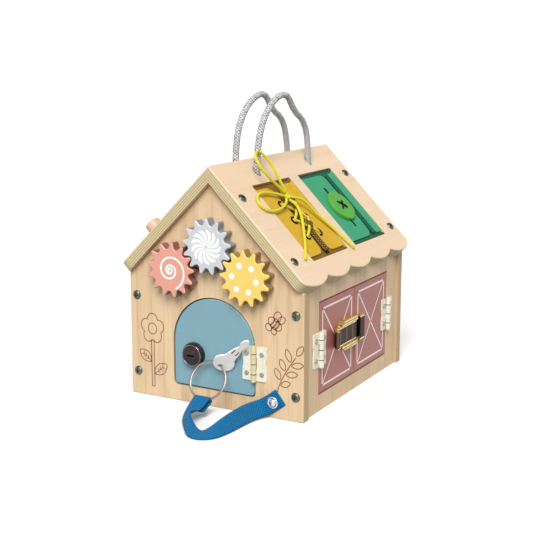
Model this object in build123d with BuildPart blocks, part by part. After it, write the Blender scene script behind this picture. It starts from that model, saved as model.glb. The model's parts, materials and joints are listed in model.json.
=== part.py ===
from build123d import *
import os
from math import atan2, cos, degrees, hypot, pi, radians, sin, tan

os.makedirs("parts", exist_ok=True)

# House: five sawn boards and a pitched roof, all sizes in millimetres
house_width = 180.0
house_depth = 217.0
board = 10.0
wall_height = 114.0
roof_pitch = 45.0
wall_inset = 2.5
floor_thickness = 6.0
roof_overhang = 6.5
eave_overhang = 5.0
scallop_count = 5
scallop_depth = 6.0
eave_corner = 8.0
valley_round = 2.5
edge_break = 0.7

# Screws that hold the boards together
screw_shank = 4.0
screw_head = 8.6
screw_head_height = 1.8
screw_flat = 4.6
screw_cross_length = 4.4
screw_cross_width = 1.1
screw_bite = 14.0
screw_play = 0.1
panel_screw_heights = (22.2, 94.5)
roof_screw_slopes = (38.6, 110.4)

# Front doorway with its round-headed door
doorway_width = 85.6
doorway_sill = 15.4
doorway_spring = 58.0
doorway_corner = 4.5
door_gap = 1.2
door_play = 0.2

# Side doorway with its pair of doors
side_jamb = 33.5
side_doorway_sill = 15.0
side_doorway_height = 85.5
meeting_gap = 1.6

# Door stops glued inside, over each doorway
stop_thickness = 6.0
stop_height = 12.0
stop_lap = 4.0
stop_length = 44.0

# Butt hinges, all of one size
hinge_height = 31.0
leaf_reach = 12.0
leaf_thickness = 1.2
knuckle_radius = 2.4
knuckle_play = 0.2
hinge_pin_radius = 1.0
hinge_pin_play = 0.05
hinge_pin_head = 0.8
leaf_screw_reach = 7.6
leaf_screw_spread = 9.0
leaf_corner = 1.2
leaf_waist = 1.0
leaf_waist_height = 9.0
hinge_screw_radius = 0.9
hinge_screw_head = 2.1
hinge_screw_head_height = 1.0
hinge_screw_bite = 6.0
front_hinge_height = 47.0
side_hinge_height = 57.5

# Cam lock in the front door
lock_x = -20.5
lock_height = 46.5
lock_bezel_radius = 11.3
lock_bezel_height = 6.4
lock_rim_height = 2.2
lock_barrel_radius = 8.5
lock_barrel_length = 16.0
lock_plug_radius = 6.0
lock_play = 0.05
lock_plug_proud = 0.4
key_slot_length = 8.0
key_slot_width = 1.6
key_slot_depth = 5.0
lock_nut_width = 22.0
lock_nut_thickness = 4.0
cam_length = 28.0
cam_width = 11.0
cam_thickness = 2.0
cam_square = 6.0
cam_gap = 0.4

# Three wooden gears in mesh on the gable
gear_teeth = 13
gear_spread = 38.0
gear_drop = 24.4
grey_gear_drop = 55.6
gear_tip_point = 28.0
gear_root_point = 17.2
gear_tip_round = 1.6
gear_root_round = 2.4
gear_thickness = 10.0
gear_standoff = 1.5
gear_edge = 0.8
gear_boss_radius = 8.0
gear_boss_play = 0.2
axle_radius = 4.0
axle_play = 0.05
axle_seat = 7.0
axle_head_radius = 7.0
axle_head_thickness = 3.0

# Sliding latch across the side doors
latch_height = 60.0
latch_hinge_gap = 21.4
latch_case_high = -3.0
latch_case_half = 14.0
latch_plate = 1.0
latch_rail = 3.0
latch_rise = 5.0
latch_lip = 2.0
latch_taper_length = 10.0
latch_taper_height = 7.0
latch_bolt_thickness = 2.4
latch_bolt_play = 0.3
latch_tail_reach = 4.0
latch_curl_radius = 5.2
keeper_low = 2.4
keeper_length = 9.6
keeper_wall = 1.6
keeper_corner = 4.5

# Felt windows let into the right roof board
window_top = 28.5
window_length = 87.5
window_front_margin = 33.5
window_back_margin = 26.5
window_gap = 17.0
window_corner = 1.5
pocket_depth = 4.0
felt_backing = 1.2
felt_flap = 1.6
felt_play = 0.3
flap_margin = 5.0
flap_corner = 8.0
lacing_opening = 12.5
button_seam_offset = 8.0
eyelet_radius = 2.0
eyelet_inset = 5.3
eyelet_slopes = (54.0, 72.5, 91.0)
button_offset = -4.5
button_slope = 73.0
button_radius = 17.0
button_thickness = 3.4
button_round = 1.2
button_hole = 1.1
button_hole_pitch = 4.2
buttonhole_length = 47.0
buttonhole_width = 1.8

# Lace through the yellow flaps, tied in a bow
lace_diameter = 3.0
knot_radius = 4.5
knot_slope = 49.5
knot_offset = -1.0
knot_height = 3.2

# Rope carrying handles
rope_diameter = 6.0
rope_hole_radius = 3.8
rope_x = 11.0
rope_hole_y = (-50.0, 51.7)
rope_tuck = 18.5
rope_knot_radius = 6.5
rope_knot_height = 12.0
rope_knot_round = 3.5

# Pegs with knobs that slide in slots of the left roof board
knob_travel = 90.0
knob_eave_margins = (32.3, 66.5)
knob_front_margins = (24.5, 58.5)
knob_radius = 7.5
knob_neck_radius = 5.0
knob_neck_height = 4.0
knob_height = 15.5
knob_round = 2.2
knob_play = 0.3
peg_radius = 3.0
peg_play = 0.25
peg_seat = 9.0
peg_head_radius = 7.0
peg_head_thickness = 3.0

# Key, key ring and the strap that keeps them
ring_radius = 17.5
ring_wire = 0.9
ring_x = 2.0
ring_forward = 13.8
ring_height = 28.9
ring_lean = 30.0
key_eye_angle = 60.0
key_eye_radius = 2.6
key_head_radius = 9.5
key_eye_inset = 5.0
key_thickness = 1.8
key_blade_width = 6.4
key_shoulder_width = 10.4
key_waist_width = 3.6
key_shoulder_length = 10.5
key_tip_length = 11.0
key_groove_width = 1.3
key_groove_length = 6.6
key_groove_spread = 2.1
key_length = 45.4
key_roll = 35.0
key_pointing = (0.74, -0.08, 0.665)
strap_width = 16.0
strap_thickness = 1.4
strap_loop_radius = 3.4
rivet_inset = 29.4
rivet_height = 14.6
rivet_radius = 5.5
rivet_rise = 2.6
rivet_shank_radius = 2.0
rivet_play = 0.1
rivet_tail_radius = 5.0
rivet_tail = 1.6

# Places worked out from the sizes above
front_y = -house_depth / 2
back_y = house_depth / 2
panel_inner_y = back_y - board
wall_outer = house_width / 2 - wall_inset
wall_inner = wall_outer - board
pitch = radians(roof_pitch)
ridge_under = wall_height + house_width / 2 * tan(pitch)
ridge_top = ridge_under + board / cos(pitch)
roof_length = house_depth + 2 * roof_overhang
eave_valley = house_width / 2 / cos(pitch) + eave_overhang
scallop_pitch = roof_length / scallop_count
side_doorway_width = house_depth - 2 * side_jamb
knob_slopes = [eave_valley - margin for margin in knob_eave_margins]
knob_rest_y = [front_y + margin for margin in knob_front_margins]
rivet_x = house_width / 2 - rivet_inset
window_width = (house_depth - window_front_margin - window_gap - window_back_margin) / 2
lacing_window_y = front_y + window_front_margin + window_width / 2
button_window_y = back_y - window_back_margin - window_width / 2
button_seam_y = button_window_y + button_seam_offset
button_y = button_window_y + button_offset
door_thickness = board - door_play
hinge_pin_offset = knuckle_radius + knuckle_play
knuckle_clear = knuckle_radius + 2 * knuckle_play

front_face = Plane(origin=(0, front_y, 0), x_dir=(1, 0, 0), z_dir=(0, -1, 0))
back_face = Plane(origin=(0, back_y, 0), x_dir=(-1, 0, 0), z_dir=(0, 1, 0))
right_face = Plane(origin=(wall_outer, 0, 0), x_dir=(0, 1, 0), z_dir=(1, 0, 0))
right_slope = Vector(cos(pitch), 0, -sin(pitch))
left_slope = Vector(-cos(pitch), 0, -sin(pitch))
right_normal = Vector(sin(pitch), 0, cos(pitch))
left_normal = Vector(-sin(pitch), 0, cos(pitch))
right_roof = Plane(origin=(0, 0, ridge_top), x_dir=right_slope, z_dir=right_normal)
left_roof = Plane(origin=(0, 0, ridge_top), x_dir=left_slope, z_dir=left_normal)


def finish(piece, name):
    """Label a finished piece and write it under its own name."""
    piece.part.label = name
    export_step(piece.part, f"parts/{name}.step")


def spot(plane, across, along, lift=0.0):
    """A place on a plane, facing out of it."""
    return Location(plane) * Pos(across, along, lift)


def drill(spots, radius, depth):
    """Round holes from the given spots straight into the piece being made."""
    with Locations(*spots):
        Cylinder(radius, depth, align=(Align.CENTER, Align.CENTER, Align.MAX), mode=Mode.SUBTRACT)


def roof_point(slope, y, lift):
    """A point over the right roof board: down its slope, along the ridge, and off its face."""
    return Vector(0, y, ridge_top) + right_slope * slope + right_normal * lift


# Where the board screws go
wall_middle = (wall_outer + wall_inner) / 2
panel_middle = (back_y + panel_inner_y) / 2
front_spots = [spot(front_face, x, z) for x in (-wall_middle, wall_middle) for z in panel_screw_heights]
back_spots = [spot(back_face, x, z) for x in (-wall_middle, wall_middle) for z in panel_screw_heights]
right_roof_spots = [
    spot(right_roof, slope, y) for slope in roof_screw_slopes for y in (-panel_middle, panel_middle)
]
left_roof_spots = [
    spot(left_roof, slope, y) for slope in roof_screw_slopes for y in (-panel_middle, panel_middle)
]
screw_hole_radius = screw_shank / 2 + screw_play
screw_depth = board + screw_bite

# Where the hinges stand: the pin lies over the middle of the gap at the door's edge
front_pin_x = doorway_width / 2 - door_gap / 2
side_pin_y = side_doorway_width / 2 - door_gap / 2
front_hinge = Plane(
    origin=(front_pin_x, front_y, front_hinge_height), x_dir=(1, 0, 0), z_dir=(0, -1, 0)
)
side_front_hinge = Plane(
    origin=(wall_outer, -side_pin_y, side_hinge_height), x_dir=(0, 1, 0), z_dir=(1, 0, 0)
)
side_rear_hinge = Plane(
    origin=(wall_outer, side_pin_y, side_hinge_height), x_dir=(0, 1, 0), z_dir=(1, 0, 0)
)
hinge_hole_radius = hinge_screw_radius + screw_play
latch_case_low = leaf_reach + latch_hinge_gap - side_pin_y


def leaf_spots(hinge, side, lift=0.0):
    """The two screw places of a hinge leaf."""
    heights = (-leaf_screw_spread, leaf_screw_spread)
    return [spot(hinge, side * leaf_screw_reach, height, lift) for height in heights]


# Boards of the house
def gable_outline():
    """The gable wall's outline, from the base up to the underside of the roof."""
    half = house_width / 2
    with BuildSketch(mode=Mode.PRIVATE) as outline:
        with BuildLine():
            eaves = ((half, wall_height), (0, ridge_under), (-half, wall_height))
            Polyline((-half, 0), (half, 0), *eaves, close=True)
        make_face()
    return outline.sketch


def round_headed(width, sill, spring, corner):
    """A round-headed outline standing on a sill with small rounded corners."""
    half = width / 2
    with BuildSketch(mode=Mode.PRIVATE) as outline:
        with BuildLine():
            Polyline((-half, spring), (-half, sill), (half, sill), (half, spring))
            ThreePointArc((half, spring), (0, spring + half), (-half, spring))
        make_face()
        fillet(outline.vertices().group_by(Axis.Y)[0], corner)
    return outline.sketch


grey_gear_height = ridge_under - grey_gear_drop
gear_centres = {
    "grey": (0.0, grey_gear_height),
    "pink": (-gear_spread, grey_gear_height - gear_drop),
    "yellow": (gear_spread, grey_gear_height - gear_drop),
}

with BuildPart() as front_panel:
    with BuildSketch(front_face):
        add(gable_outline())
        add(
            round_headed(doorway_width, doorway_sill, doorway_spring, doorway_corner),
            mode=Mode.SUBTRACT,
        )
        with Locations(*gear_centres.values()):
            Circle(axle_radius + axle_play, mode=Mode.SUBTRACT)
        with Locations((rivet_x, rivet_height)):
            Circle(rivet_shank_radius + rivet_play, mode=Mode.SUBTRACT)
    extrude(amount=-board)
    chamfer(front_panel.faces().sort_by(Axis.Y)[0].outer_wire().edges(), edge_break)
    drill(front_spots + right_roof_spots + left_roof_spots, screw_hole_radius, screw_depth)
    drill(leaf_spots(front_hinge, 1), hinge_hole_radius, hinge_screw_bite)
finish(front_panel, "front_panel")

with BuildPart() as back_panel:
    with BuildSketch(back_face):
        add(gable_outline())
    extrude(amount=-board)
    chamfer(back_panel.faces().sort_by(Axis.Y)[-1].outer_wire().edges(), edge_break)
    drill(back_spots + right_roof_spots + left_roof_spots, screw_hole_radius, screw_depth)
finish(back_panel, "back_panel")


def wall_section(side):
    """A side wall's section, bevelled on top to bear against the roof board."""
    outer_top = ridge_under - wall_outer * tan(pitch)
    inner_top = ridge_under - wall_inner * tan(pitch)
    outer = side * wall_outer
    inner = side * wall_inner
    with BuildSketch(mode=Mode.PRIVATE) as outline:
        with BuildLine():
            Polyline((outer, 0), (inner, 0), (inner, inner_top), (outer, outer_top), close=True)
        make_face()
    return outline.sketch


with BuildPart() as left_wall:
    with BuildSketch(Plane.XZ):
        add(wall_section(-1))
    extrude(amount=panel_inner_y, both=True)
    drill(front_spots + back_spots, screw_hole_radius, screw_depth)
finish(left_wall, "left_wall")

side_doorway_middle = side_doorway_sill + side_doorway_height / 2
with BuildPart() as right_wall:
    with BuildSketch(Plane.XZ):
        add(wall_section(1))
    extrude(amount=panel_inner_y, both=True)
    with BuildSketch(right_face):
        with Locations((0, side_doorway_middle)):
            Rectangle(side_doorway_width, side_doorway_height)
    extrude(amount=-board, mode=Mode.SUBTRACT)
    drill(front_spots + back_spots, screw_hole_radius, screw_depth)
    drill(leaf_spots(side_front_hinge, -1), hinge_hole_radius, hinge_screw_bite)
    drill(leaf_spots(side_rear_hinge, 1), hinge_hole_radius, hinge_screw_bite)
finish(right_wall, "right_wall")

with BuildPart() as floor_panel:
    with Locations((0, 0, floor_thickness / 2)):
        Box(2 * wall_inner, 2 * panel_inner_y, floor_thickness)
finish(floor_panel, "floor_panel")


def roof_outline():
    """A roof board's outline: straight at the ridge, scalloped along the eave."""
    half = roof_length / 2
    with BuildSketch(mode=Mode.PRIVATE) as outline:
        with BuildLine():
            for step in range(scallop_count):
                start = step * scallop_pitch - half
                ThreePointArc(
                    (eave_valley, start),
                    (eave_valley + scallop_depth, start + scallop_pitch / 2),
                    (eave_valley, start + scallop_pitch),
                )
            Polyline((eave_valley, half), (0, half), (0, -half), (eave_valley, -half))
        make_face()
        eave_ends = outline.vertices().filter_by(lambda v: v.X > board and abs(v.Y) > half - board)
        fillet(eave_ends, eave_corner)
        valleys = outline.vertices().filter_by(lambda v: v.X > board and abs(v.Y) < half - scallop_pitch / 2)
        fillet(valleys, valley_round)
    return outline.sketch


def break_top_edges(piece, normal):
    """Ease the upper edges of a roof board, apart from the mitred one at the ridge."""
    top = piece.faces().sort_by(Axis((0, 0, 0), normal))[-1]
    chamfer(top.edges().filter_by(lambda e: abs(e.center().X) > edge_break), edge_break)


def drill_rope_holes(side):
    """Upright holes for a rope handle."""
    with Locations(*[(side * rope_x, y, ridge_under) for y in rope_hole_y]):
        Cylinder(rope_hole_radius, 6 * board, mode=Mode.SUBTRACT)


window_middle = window_top + window_length / 2
with BuildPart() as right_roof_board:
    with BuildSketch(right_roof):
        add(roof_outline())
    extrude(amount=-board)
    split(bisect_by=Plane.YZ, keep=Keep.TOP)
    break_top_edges(right_roof_board, right_normal)
    with BuildSketch(right_roof):
        with Locations((window_middle, lacing_window_y), (window_middle, button_window_y)):
            RectangleRounded(window_length, window_width, window_corner)
    extrude(amount=-pocket_depth, mode=Mode.SUBTRACT)
    drill(right_roof_spots, screw_hole_radius, screw_depth)
    drill_rope_holes(1)
finish(right_roof_board, "right_roof_board")

slot_width = 2 * (peg_radius + peg_play)
knob_spots = [(slope, -y) for slope, y in zip(knob_slopes, knob_rest_y)]
slot_spots = [(slope, -y - knob_travel / 2) for slope, y in zip(knob_slopes, knob_rest_y)]
with BuildPart() as left_roof_board:
    with BuildSketch(left_roof):
        add(roof_outline())
    extrude(amount=-board)
    split(bisect_by=Plane.YZ, keep=Keep.BOTTOM)
    break_top_edges(left_roof_board, left_normal)
    with BuildSketch(left_roof):
        with Locations(*slot_spots):
            SlotCenterToCenter(knob_travel, slot_width, rotation=90)
    extrude(amount=-board, mode=Mode.SUBTRACT)
    drill(left_roof_spots, screw_hole_radius, screw_depth)
    drill_rope_holes(-1)
finish(left_roof_board, "left_roof_board")

# Board screws: low button heads with a cross recess
with BuildPart(mode=Mode.PRIVATE) as board_screw:
    with BuildSketch(Plane.XZ):
        with BuildLine():
            Polyline(
                (screw_head / 2, 0),
                (screw_shank / 2, 0),
                (screw_shank / 2, -screw_depth),
                (0, -screw_depth),
                (0, screw_head_height),
                (screw_flat / 2, screw_head_height),
            )
            ThreePointArc(
                (screw_flat / 2, screw_head_height),
                (screw_head * 0.41, screw_head_height * 0.66),
                (screw_head / 2, 0),
            )
        make_face()
    revolve(axis=Axis.Z)
    with BuildSketch(Plane.XY.offset(screw_head_height)):
        Rectangle(screw_cross_length, screw_cross_width)
        Rectangle(screw_cross_width, screw_cross_length)
    extrude(amount=-screw_head_height * 0.7, mode=Mode.SUBTRACT)

with BuildPart() as house_screws:
    with Locations(*(front_spots + back_spots + right_roof_spots + left_roof_spots)):
        add(board_screw.part)
finish(house_screws, "house_screws")

# Doors
door_width = doorway_width - 2 * door_gap
with BuildPart() as front_door:
    with BuildSketch(front_face):
        add(round_headed(door_width, doorway_sill + door_gap, doorway_spring, doorway_corner - door_gap))
        with Locations((lock_x, lock_height)):
            Circle(lock_barrel_radius + screw_play, mode=Mode.SUBTRACT)
    extrude(amount=-door_thickness)
    chamfer(front_door.faces().sort_by(Axis.Y)[0].outer_wire().edges(), edge_break)
    drill(leaf_spots(front_hinge, -1), hinge_hole_radius, hinge_screw_bite)
finish(front_door, "front_door")

side_door_width = (side_doorway_width - 2 * door_gap - meeting_gap) / 2
side_door_height = side_doorway_height - 2 * door_gap


def side_door(hinge, side):
    """One of the pair of plain side doors; side is -1 for the front one and 1 for the rear one."""
    with BuildPart() as door:
        with BuildSketch(right_face):
            with Locations((side * (meeting_gap + side_door_width) / 2, side_doorway_middle)):
                Rectangle(side_door_width, side_door_height)
        extrude(amount=-door_thickness)
        chamfer(door.faces().sort_by(Axis.X)[-1].edges(), edge_break)
        drill(leaf_spots(hinge, -side), hinge_hole_radius, hinge_screw_bite)
    return door


finish(side_door(side_front_hinge, -1), "side_door_front")
finish(side_door(side_rear_hinge, 1), "side_door_rear")

# Door stops, each glued over its doorway and lapping the closed door
front_doorway_top = doorway_spring + doorway_width / 2
with BuildPart() as front_door_stop:
    with BuildSketch(front_face.offset(-board)):
        with Locations((0, front_doorway_top - stop_lap + stop_height / 2)):
            Rectangle(stop_length, stop_height)
    extrude(amount=-stop_thickness)
finish(front_door_stop, "front_door_stop")

side_doorway_top = side_doorway_sill + side_doorway_height
with BuildPart() as side_door_stop:
    with BuildSketch(right_face.offset(-board)):
        with Locations((0, side_doorway_top - stop_lap + stop_height / 2)):
            Rectangle(stop_length, stop_height)
    extrude(amount=-stop_thickness)
finish(side_door_stop, "side_door_stop")

# Hinges: the frame leaf holds the outer knuckles and the door leaf the middle one
knuckle_half = hinge_height / 6
waist_radius = (leaf_waist_height**2 / 4 + leaf_waist**2) / (2 * leaf_waist)
frame_knuckles = (
    (-hinge_height / 2, -knuckle_half - knuckle_play / 2),
    (knuckle_half + knuckle_play / 2, hinge_height / 2),
)
door_knuckles = ((-knuckle_half + knuckle_play / 2, knuckle_half - knuckle_play / 2),)


def hinge_leaf(hinge, side, knuckles):
    """A leaf on the surface with its knuckles round the pin; side says which way it reaches."""
    pin_line = Location(hinge) * Pos(0, 0, hinge_pin_offset) * Rot(90, 0, 0)
    with BuildPart() as leaf:
        with BuildSketch(hinge):
            with Locations((side * (knuckle_clear + leaf_reach) / 2, 0)):
                plate = Rectangle(leaf_reach - knuckle_clear, hinge_height)
            fillet(plate.vertices().filter_by(lambda v: abs(v.X) > leaf_reach - leaf_corner), leaf_corner)
            with Locations((side * (leaf_reach + waist_radius - leaf_waist), 0)):
                Circle(waist_radius, mode=Mode.SUBTRACT)
            for low, high in knuckles:
                with Locations((side * knuckle_clear / 2, (low + high) / 2)):
                    Rectangle(knuckle_clear, high - low)
        extrude(amount=leaf_thickness)
        for low, high in knuckles:
            with Locations(pin_line * Pos(0, 0, -(low + high) / 2)):
                Cylinder(knuckle_radius, high - low)
        with Locations(pin_line):
            Cylinder(hinge_pin_radius + hinge_pin_play, 2 * hinge_height, mode=Mode.SUBTRACT)
        drill(leaf_spots(hinge, side, leaf_thickness), hinge_hole_radius, leaf_thickness)
    return leaf


def hinge_pin(hinge):
    """A plain pin with a small head at each end."""
    pin_line = Location(hinge) * Pos(0, 0, hinge_pin_offset) * Rot(90, 0, 0)
    with BuildPart() as pin:
        with Locations(pin_line):
            Cylinder(hinge_pin_radius, hinge_height)
        for end in (-1, 1):
            with Locations(pin_line * Pos(0, 0, end * (hinge_height + hinge_pin_head) / 2)):
                Cylinder(knuckle_radius - knuckle_play, hinge_pin_head)
    return pin


with BuildPart(mode=Mode.PRIVATE) as hinge_screw:
    Cylinder(
        hinge_screw_radius,
        hinge_screw_bite + leaf_thickness,
        align=(Align.CENTER, Align.CENTER, Align.MAX),
    )
    Cylinder(
        hinge_screw_head,
        hinge_screw_head_height,
        align=(Align.CENTER, Align.CENTER, Align.MIN),
    )
    fillet(hinge_screw.edges().group_by(Axis.Z)[-1], hinge_screw_head_height * 0.6)


def hinge_screws(spots):
    """Round-head screws of a hinge."""
    with BuildPart() as screws:
        with Locations(*spots):
            add(hinge_screw.part)
    return screws


finish(hinge_leaf(front_hinge, 1, frame_knuckles), "front_hinge_frame_leaf")
finish(hinge_leaf(front_hinge, -1, door_knuckles), "front_hinge_door_leaf")
finish(hinge_pin(front_hinge), "front_hinge_pin")
finish(hinge_leaf(side_front_hinge, -1, frame_knuckles), "side_front_hinge_wall_leaf")
finish(hinge_leaf(side_front_hinge, 1, door_knuckles), "side_front_hinge_door_leaf")
finish(hinge_pin(side_front_hinge), "side_front_hinge_pin")
finish(hinge_leaf(side_rear_hinge, 1, frame_knuckles), "side_rear_hinge_wall_leaf")
finish(hinge_leaf(side_rear_hinge, -1, door_knuckles), "side_rear_hinge_door_leaf")
finish(hinge_pin(side_rear_hinge), "side_rear_hinge_pin")

fixed_spots = leaf_spots(front_hinge, 1, leaf_thickness)
fixed_spots += leaf_spots(side_front_hinge, -1, leaf_thickness)
fixed_spots += leaf_spots(side_rear_hinge, 1, leaf_thickness)
finish(hinge_screws(fixed_spots), "hinge_frame_screws")
finish(hinge_screws(leaf_spots(front_hinge, -1, leaf_thickness)), "front_hinge_door_screws")
finish(hinge_screws(leaf_spots(side_front_hinge, 1, leaf_thickness)), "side_front_hinge_screws")
finish(hinge_screws(leaf_spots(side_rear_hinge, -1, leaf_thickness)), "side_rear_hinge_screws")

# Cam lock: profiles are drawn as radius and depth, with depth counted inward from the door's face
lock_section = Plane(origin=(lock_x, front_y, lock_height), x_dir=(1, 0, 0), z_dir=(0, 0, 1))
lock_axis = Axis((lock_x, front_y, lock_height), (0, 1, 0))
lock_front = Plane(origin=(lock_x, front_y, lock_height), x_dir=(1, 0, 0), z_dir=(0, -1, 0))
plug_bore = lock_plug_radius + lock_play

with BuildPart() as lock_housing:
    with BuildSketch(lock_section):
        with BuildLine():
            Polyline(
                (lock_bezel_radius, -lock_rim_height),
                (lock_bezel_radius, 0),
                (lock_barrel_radius, 0),
                (lock_barrel_radius, lock_barrel_length),
                (plug_bore, lock_barrel_length),
                (plug_bore, -lock_bezel_height),
            )
            ThreePointArc(
                (plug_bore, -lock_bezel_height),
                ((plug_bore + lock_bezel_radius) / 2 + 0.8, -lock_bezel_height + 1.0),
                (lock_bezel_radius, -lock_rim_height),
            )
        make_face()
    revolve(axis=lock_axis)
finish(lock_housing, "lock_housing")

cam_depth = lock_barrel_length + cam_gap
with BuildPart() as lock_plug:
    with BuildSketch(lock_front.offset(lock_bezel_height + lock_plug_proud)):
        Circle(lock_plug_radius)
    extrude(amount=-(lock_bezel_height + lock_plug_proud + cam_depth))
    fillet(lock_plug.edges().group_by(Axis.Y)[0], lock_plug_proud)
    with BuildSketch(lock_front.offset(-cam_depth)):
        Rectangle(cam_square, cam_square)
    extrude(amount=-2 * cam_thickness)
    with BuildSketch(lock_front.offset(lock_bezel_height + lock_plug_proud)):
        SlotOverall(key_slot_length, key_slot_width)
    extrude(amount=-key_slot_depth, mode=Mode.SUBTRACT)
finish(lock_plug, "lock_plug")

with BuildPart() as lock_nut:
    with BuildSketch(lock_front.offset(-door_thickness)):
        RegularPolygon(lock_nut_width / 2, 6, major_radius=False)
        Circle(lock_barrel_radius + lock_play, mode=Mode.SUBTRACT)
    extrude(amount=-lock_nut_thickness)
finish(lock_nut, "lock_nut")

with BuildPart() as lock_cam:
    with BuildSketch(lock_front.offset(-cam_depth)):
        with Locations((0, -(cam_length - cam_width / 2) / 2)):
            SlotCenterToCenter(cam_length - cam_width / 2, cam_width, rotation=90)
        Rectangle(cam_square, cam_square, mode=Mode.SUBTRACT)
    extrude(amount=-cam_thickness)
finish(lock_cam, "lock_cam")

# Gears: a star of straight flanks with rounded tips and roots
tooth_pitch = 360.0 / gear_teeth
centre_line = degrees(atan2(gear_drop, gear_spread))
grey_turn = 90.0
grey_phase = (180.0 + centre_line - grey_turn) / tooth_pitch % 1.0
pink_turn = centre_line - (0.5 - grey_phase) * tooth_pitch
gear_turns = {"grey": grey_turn, "pink": pink_turn, "yellow": 180.0 - pink_turn}


def gear_wheel(centre, turn):
    """A toothed wheel with a boss behind it and a blind hole for its axle."""
    x, z = centre
    back = Plane(origin=(x, front_y - gear_standoff, z), x_dir=(1, 0, 0), z_dir=(0, -1, 0))
    corners = []
    for step in range(2 * gear_teeth):
        angle = radians(turn + step * tooth_pitch / 2)
        reach = gear_root_point if step % 2 else gear_tip_point
        corners.append((reach * cos(angle), reach * sin(angle)))
    flank_middle = (gear_tip_point + gear_root_point) / 2
    with BuildPart() as wheel:
        with BuildSketch(back):
            with BuildLine():
                Polyline(*corners, close=True)
            star = make_face()
            tips = star.vertices().filter_by(lambda v: hypot(v.X, v.Y) > flank_middle)
            rounded = fillet(tips, gear_tip_round)
            roots = rounded.vertices().filter_by(lambda v: hypot(v.X, v.Y) < gear_root_point + gear_edge)
            fillet(roots, gear_root_round)
        extrude(amount=gear_thickness)
        chamfer(wheel.faces().sort_by(Axis.Y)[0].edges(), gear_edge)
        with BuildSketch(back):
            Circle(gear_boss_radius)
        extrude(amount=gear_boss_play - gear_standoff)
        with BuildSketch(back.offset(axle_seat)):
            Circle(axle_radius)
        extrude(amount=-axle_seat - gear_standoff, mode=Mode.SUBTRACT)
    return wheel


def gear_axle(centre):
    """A headed dowel, put in from inside and glued into its gear."""
    x, z = centre
    seat_y = front_y + board + gear_boss_play
    inside = Plane(origin=(x, seat_y, z), x_dir=(1, 0, 0), z_dir=(0, -1, 0))
    with BuildPart() as axle:
        with BuildSketch(inside):
            Circle(axle_radius)
        extrude(amount=board + gear_boss_play + gear_standoff + axle_seat)
        with BuildSketch(inside):
            Circle(axle_head_radius)
        extrude(amount=-axle_head_thickness)
    return axle


for colour, centre in gear_centres.items():
    finish(gear_wheel(centre, gear_turns[colour]), f"{colour}_gear")
    finish(gear_axle(centre), f"{colour}_axle")

# Sliding latch: a channel with a bolt in it, and a keeper on the other door
latch_end = Plane(
    origin=(wall_outer, latch_case_low, latch_height), x_dir=(1, 0, 0), z_dir=(0, -1, 0)
)
latch_face = Plane(origin=(wall_outer, 0, latch_height), x_dir=(0, 1, 0), z_dir=(1, 0, 0))
latch_side = Plane(origin=(wall_outer, 0, latch_height), x_dir=(0, 1, 0), z_dir=(0, 0, -1))
rail_inner = latch_case_half - latch_rail
lip_inner = rail_inner - latch_lip
lip_under = latch_rise - latch_plate

with BuildPart() as latch_case:
    with BuildSketch(latch_end):
        with BuildLine():
            Polyline(
                (0, 0),
                (0, latch_case_half),
                (latch_rise, latch_case_half),
                (latch_rise, lip_inner),
                (lip_under, lip_inner),
                (lip_under, rail_inner),
                (latch_plate, rail_inner),
                (latch_plate, 0),
            )
            mirror(about=Plane.XZ)
        make_face()
    extrude(amount=latch_case_low - latch_case_high)
    rail_edges = latch_case.edges().filter_by(Axis.Y).group_by(Axis.X)[-1]
    fillet(rail_edges, latch_plate * 0.9)
    with BuildSketch(latch_face):
        with BuildLine():
            Polyline(
                (latch_case_low, latch_case_half),
                (latch_case_low + latch_taper_length, latch_case_half),
                (latch_case_low, latch_case_half - latch_taper_height),
                close=True,
            )
        make_face()
        mirror(about=Plane.XZ)
    extrude(amount=latch_rise, mode=Mode.SUBTRACT)
finish(latch_case, "latch_case")

bolt_middle = latch_plate + latch_bolt_play + latch_bolt_thickness / 2
bolt_high = latch_case_high - 2 * latch_bolt_play
bolt_low = latch_case_low + latch_plate
with BuildPart() as latch_bolt:
    with BuildSketch(latch_face.offset(latch_plate + latch_bolt_play)):
        with Locations(((bolt_low + bolt_high) / 2, 0)):
            Rectangle(bolt_high - bolt_low, 2 * (rail_inner - latch_bolt_play))
    extrude(amount=latch_bolt_thickness)
    with BuildSketch(latch_side):
        with BuildLine():
            tail = Line((bolt_low + 1.0, bolt_middle), (bolt_low - latch_tail_reach, bolt_middle))
            JernArc(tail @ 1, tail % 1, latch_curl_radius, -90)
        trace(line_width=latch_bolt_thickness)
    extrude(amount=lip_inner - latch_bolt_play, both=True)
finish(latch_bolt, "latch_bolt")

with BuildPart() as latch_keeper:
    with BuildSketch(latch_face):
        with Locations((keeper_low + keeper_length / 2, 0)):
            strap_plate = Rectangle(keeper_length, 2 * (rail_inner + keeper_wall))
        fillet(strap_plate.vertices().group_by(Axis.X)[-1], keeper_corner)
    extrude(amount=latch_rise + latch_bolt_play)
    fillet(latch_keeper.faces().sort_by(Axis.X)[-1].edges(), latch_plate * 0.6)
    with BuildSketch(latch_face.offset(latch_plate)):
        with Locations((keeper_low + (keeper_length - keeper_wall) / 2, 0)):
            Rectangle(keeper_length - keeper_wall, 2 * rail_inner)
    extrude(amount=lip_under - latch_plate + latch_bolt_play, mode=Mode.SUBTRACT)
finish(latch_keeper, "latch_keeper")

# Felt in the roof windows: a backing with two flaps over it in each
felt_length = window_length - 2 * felt_play
felt_width = window_width - 2 * felt_play
flap_length = window_length - 2 * flap_margin
flap_plane = right_roof.offset(-pocket_depth + felt_backing)
flap_top = -pocket_depth + felt_backing + felt_flap


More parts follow.
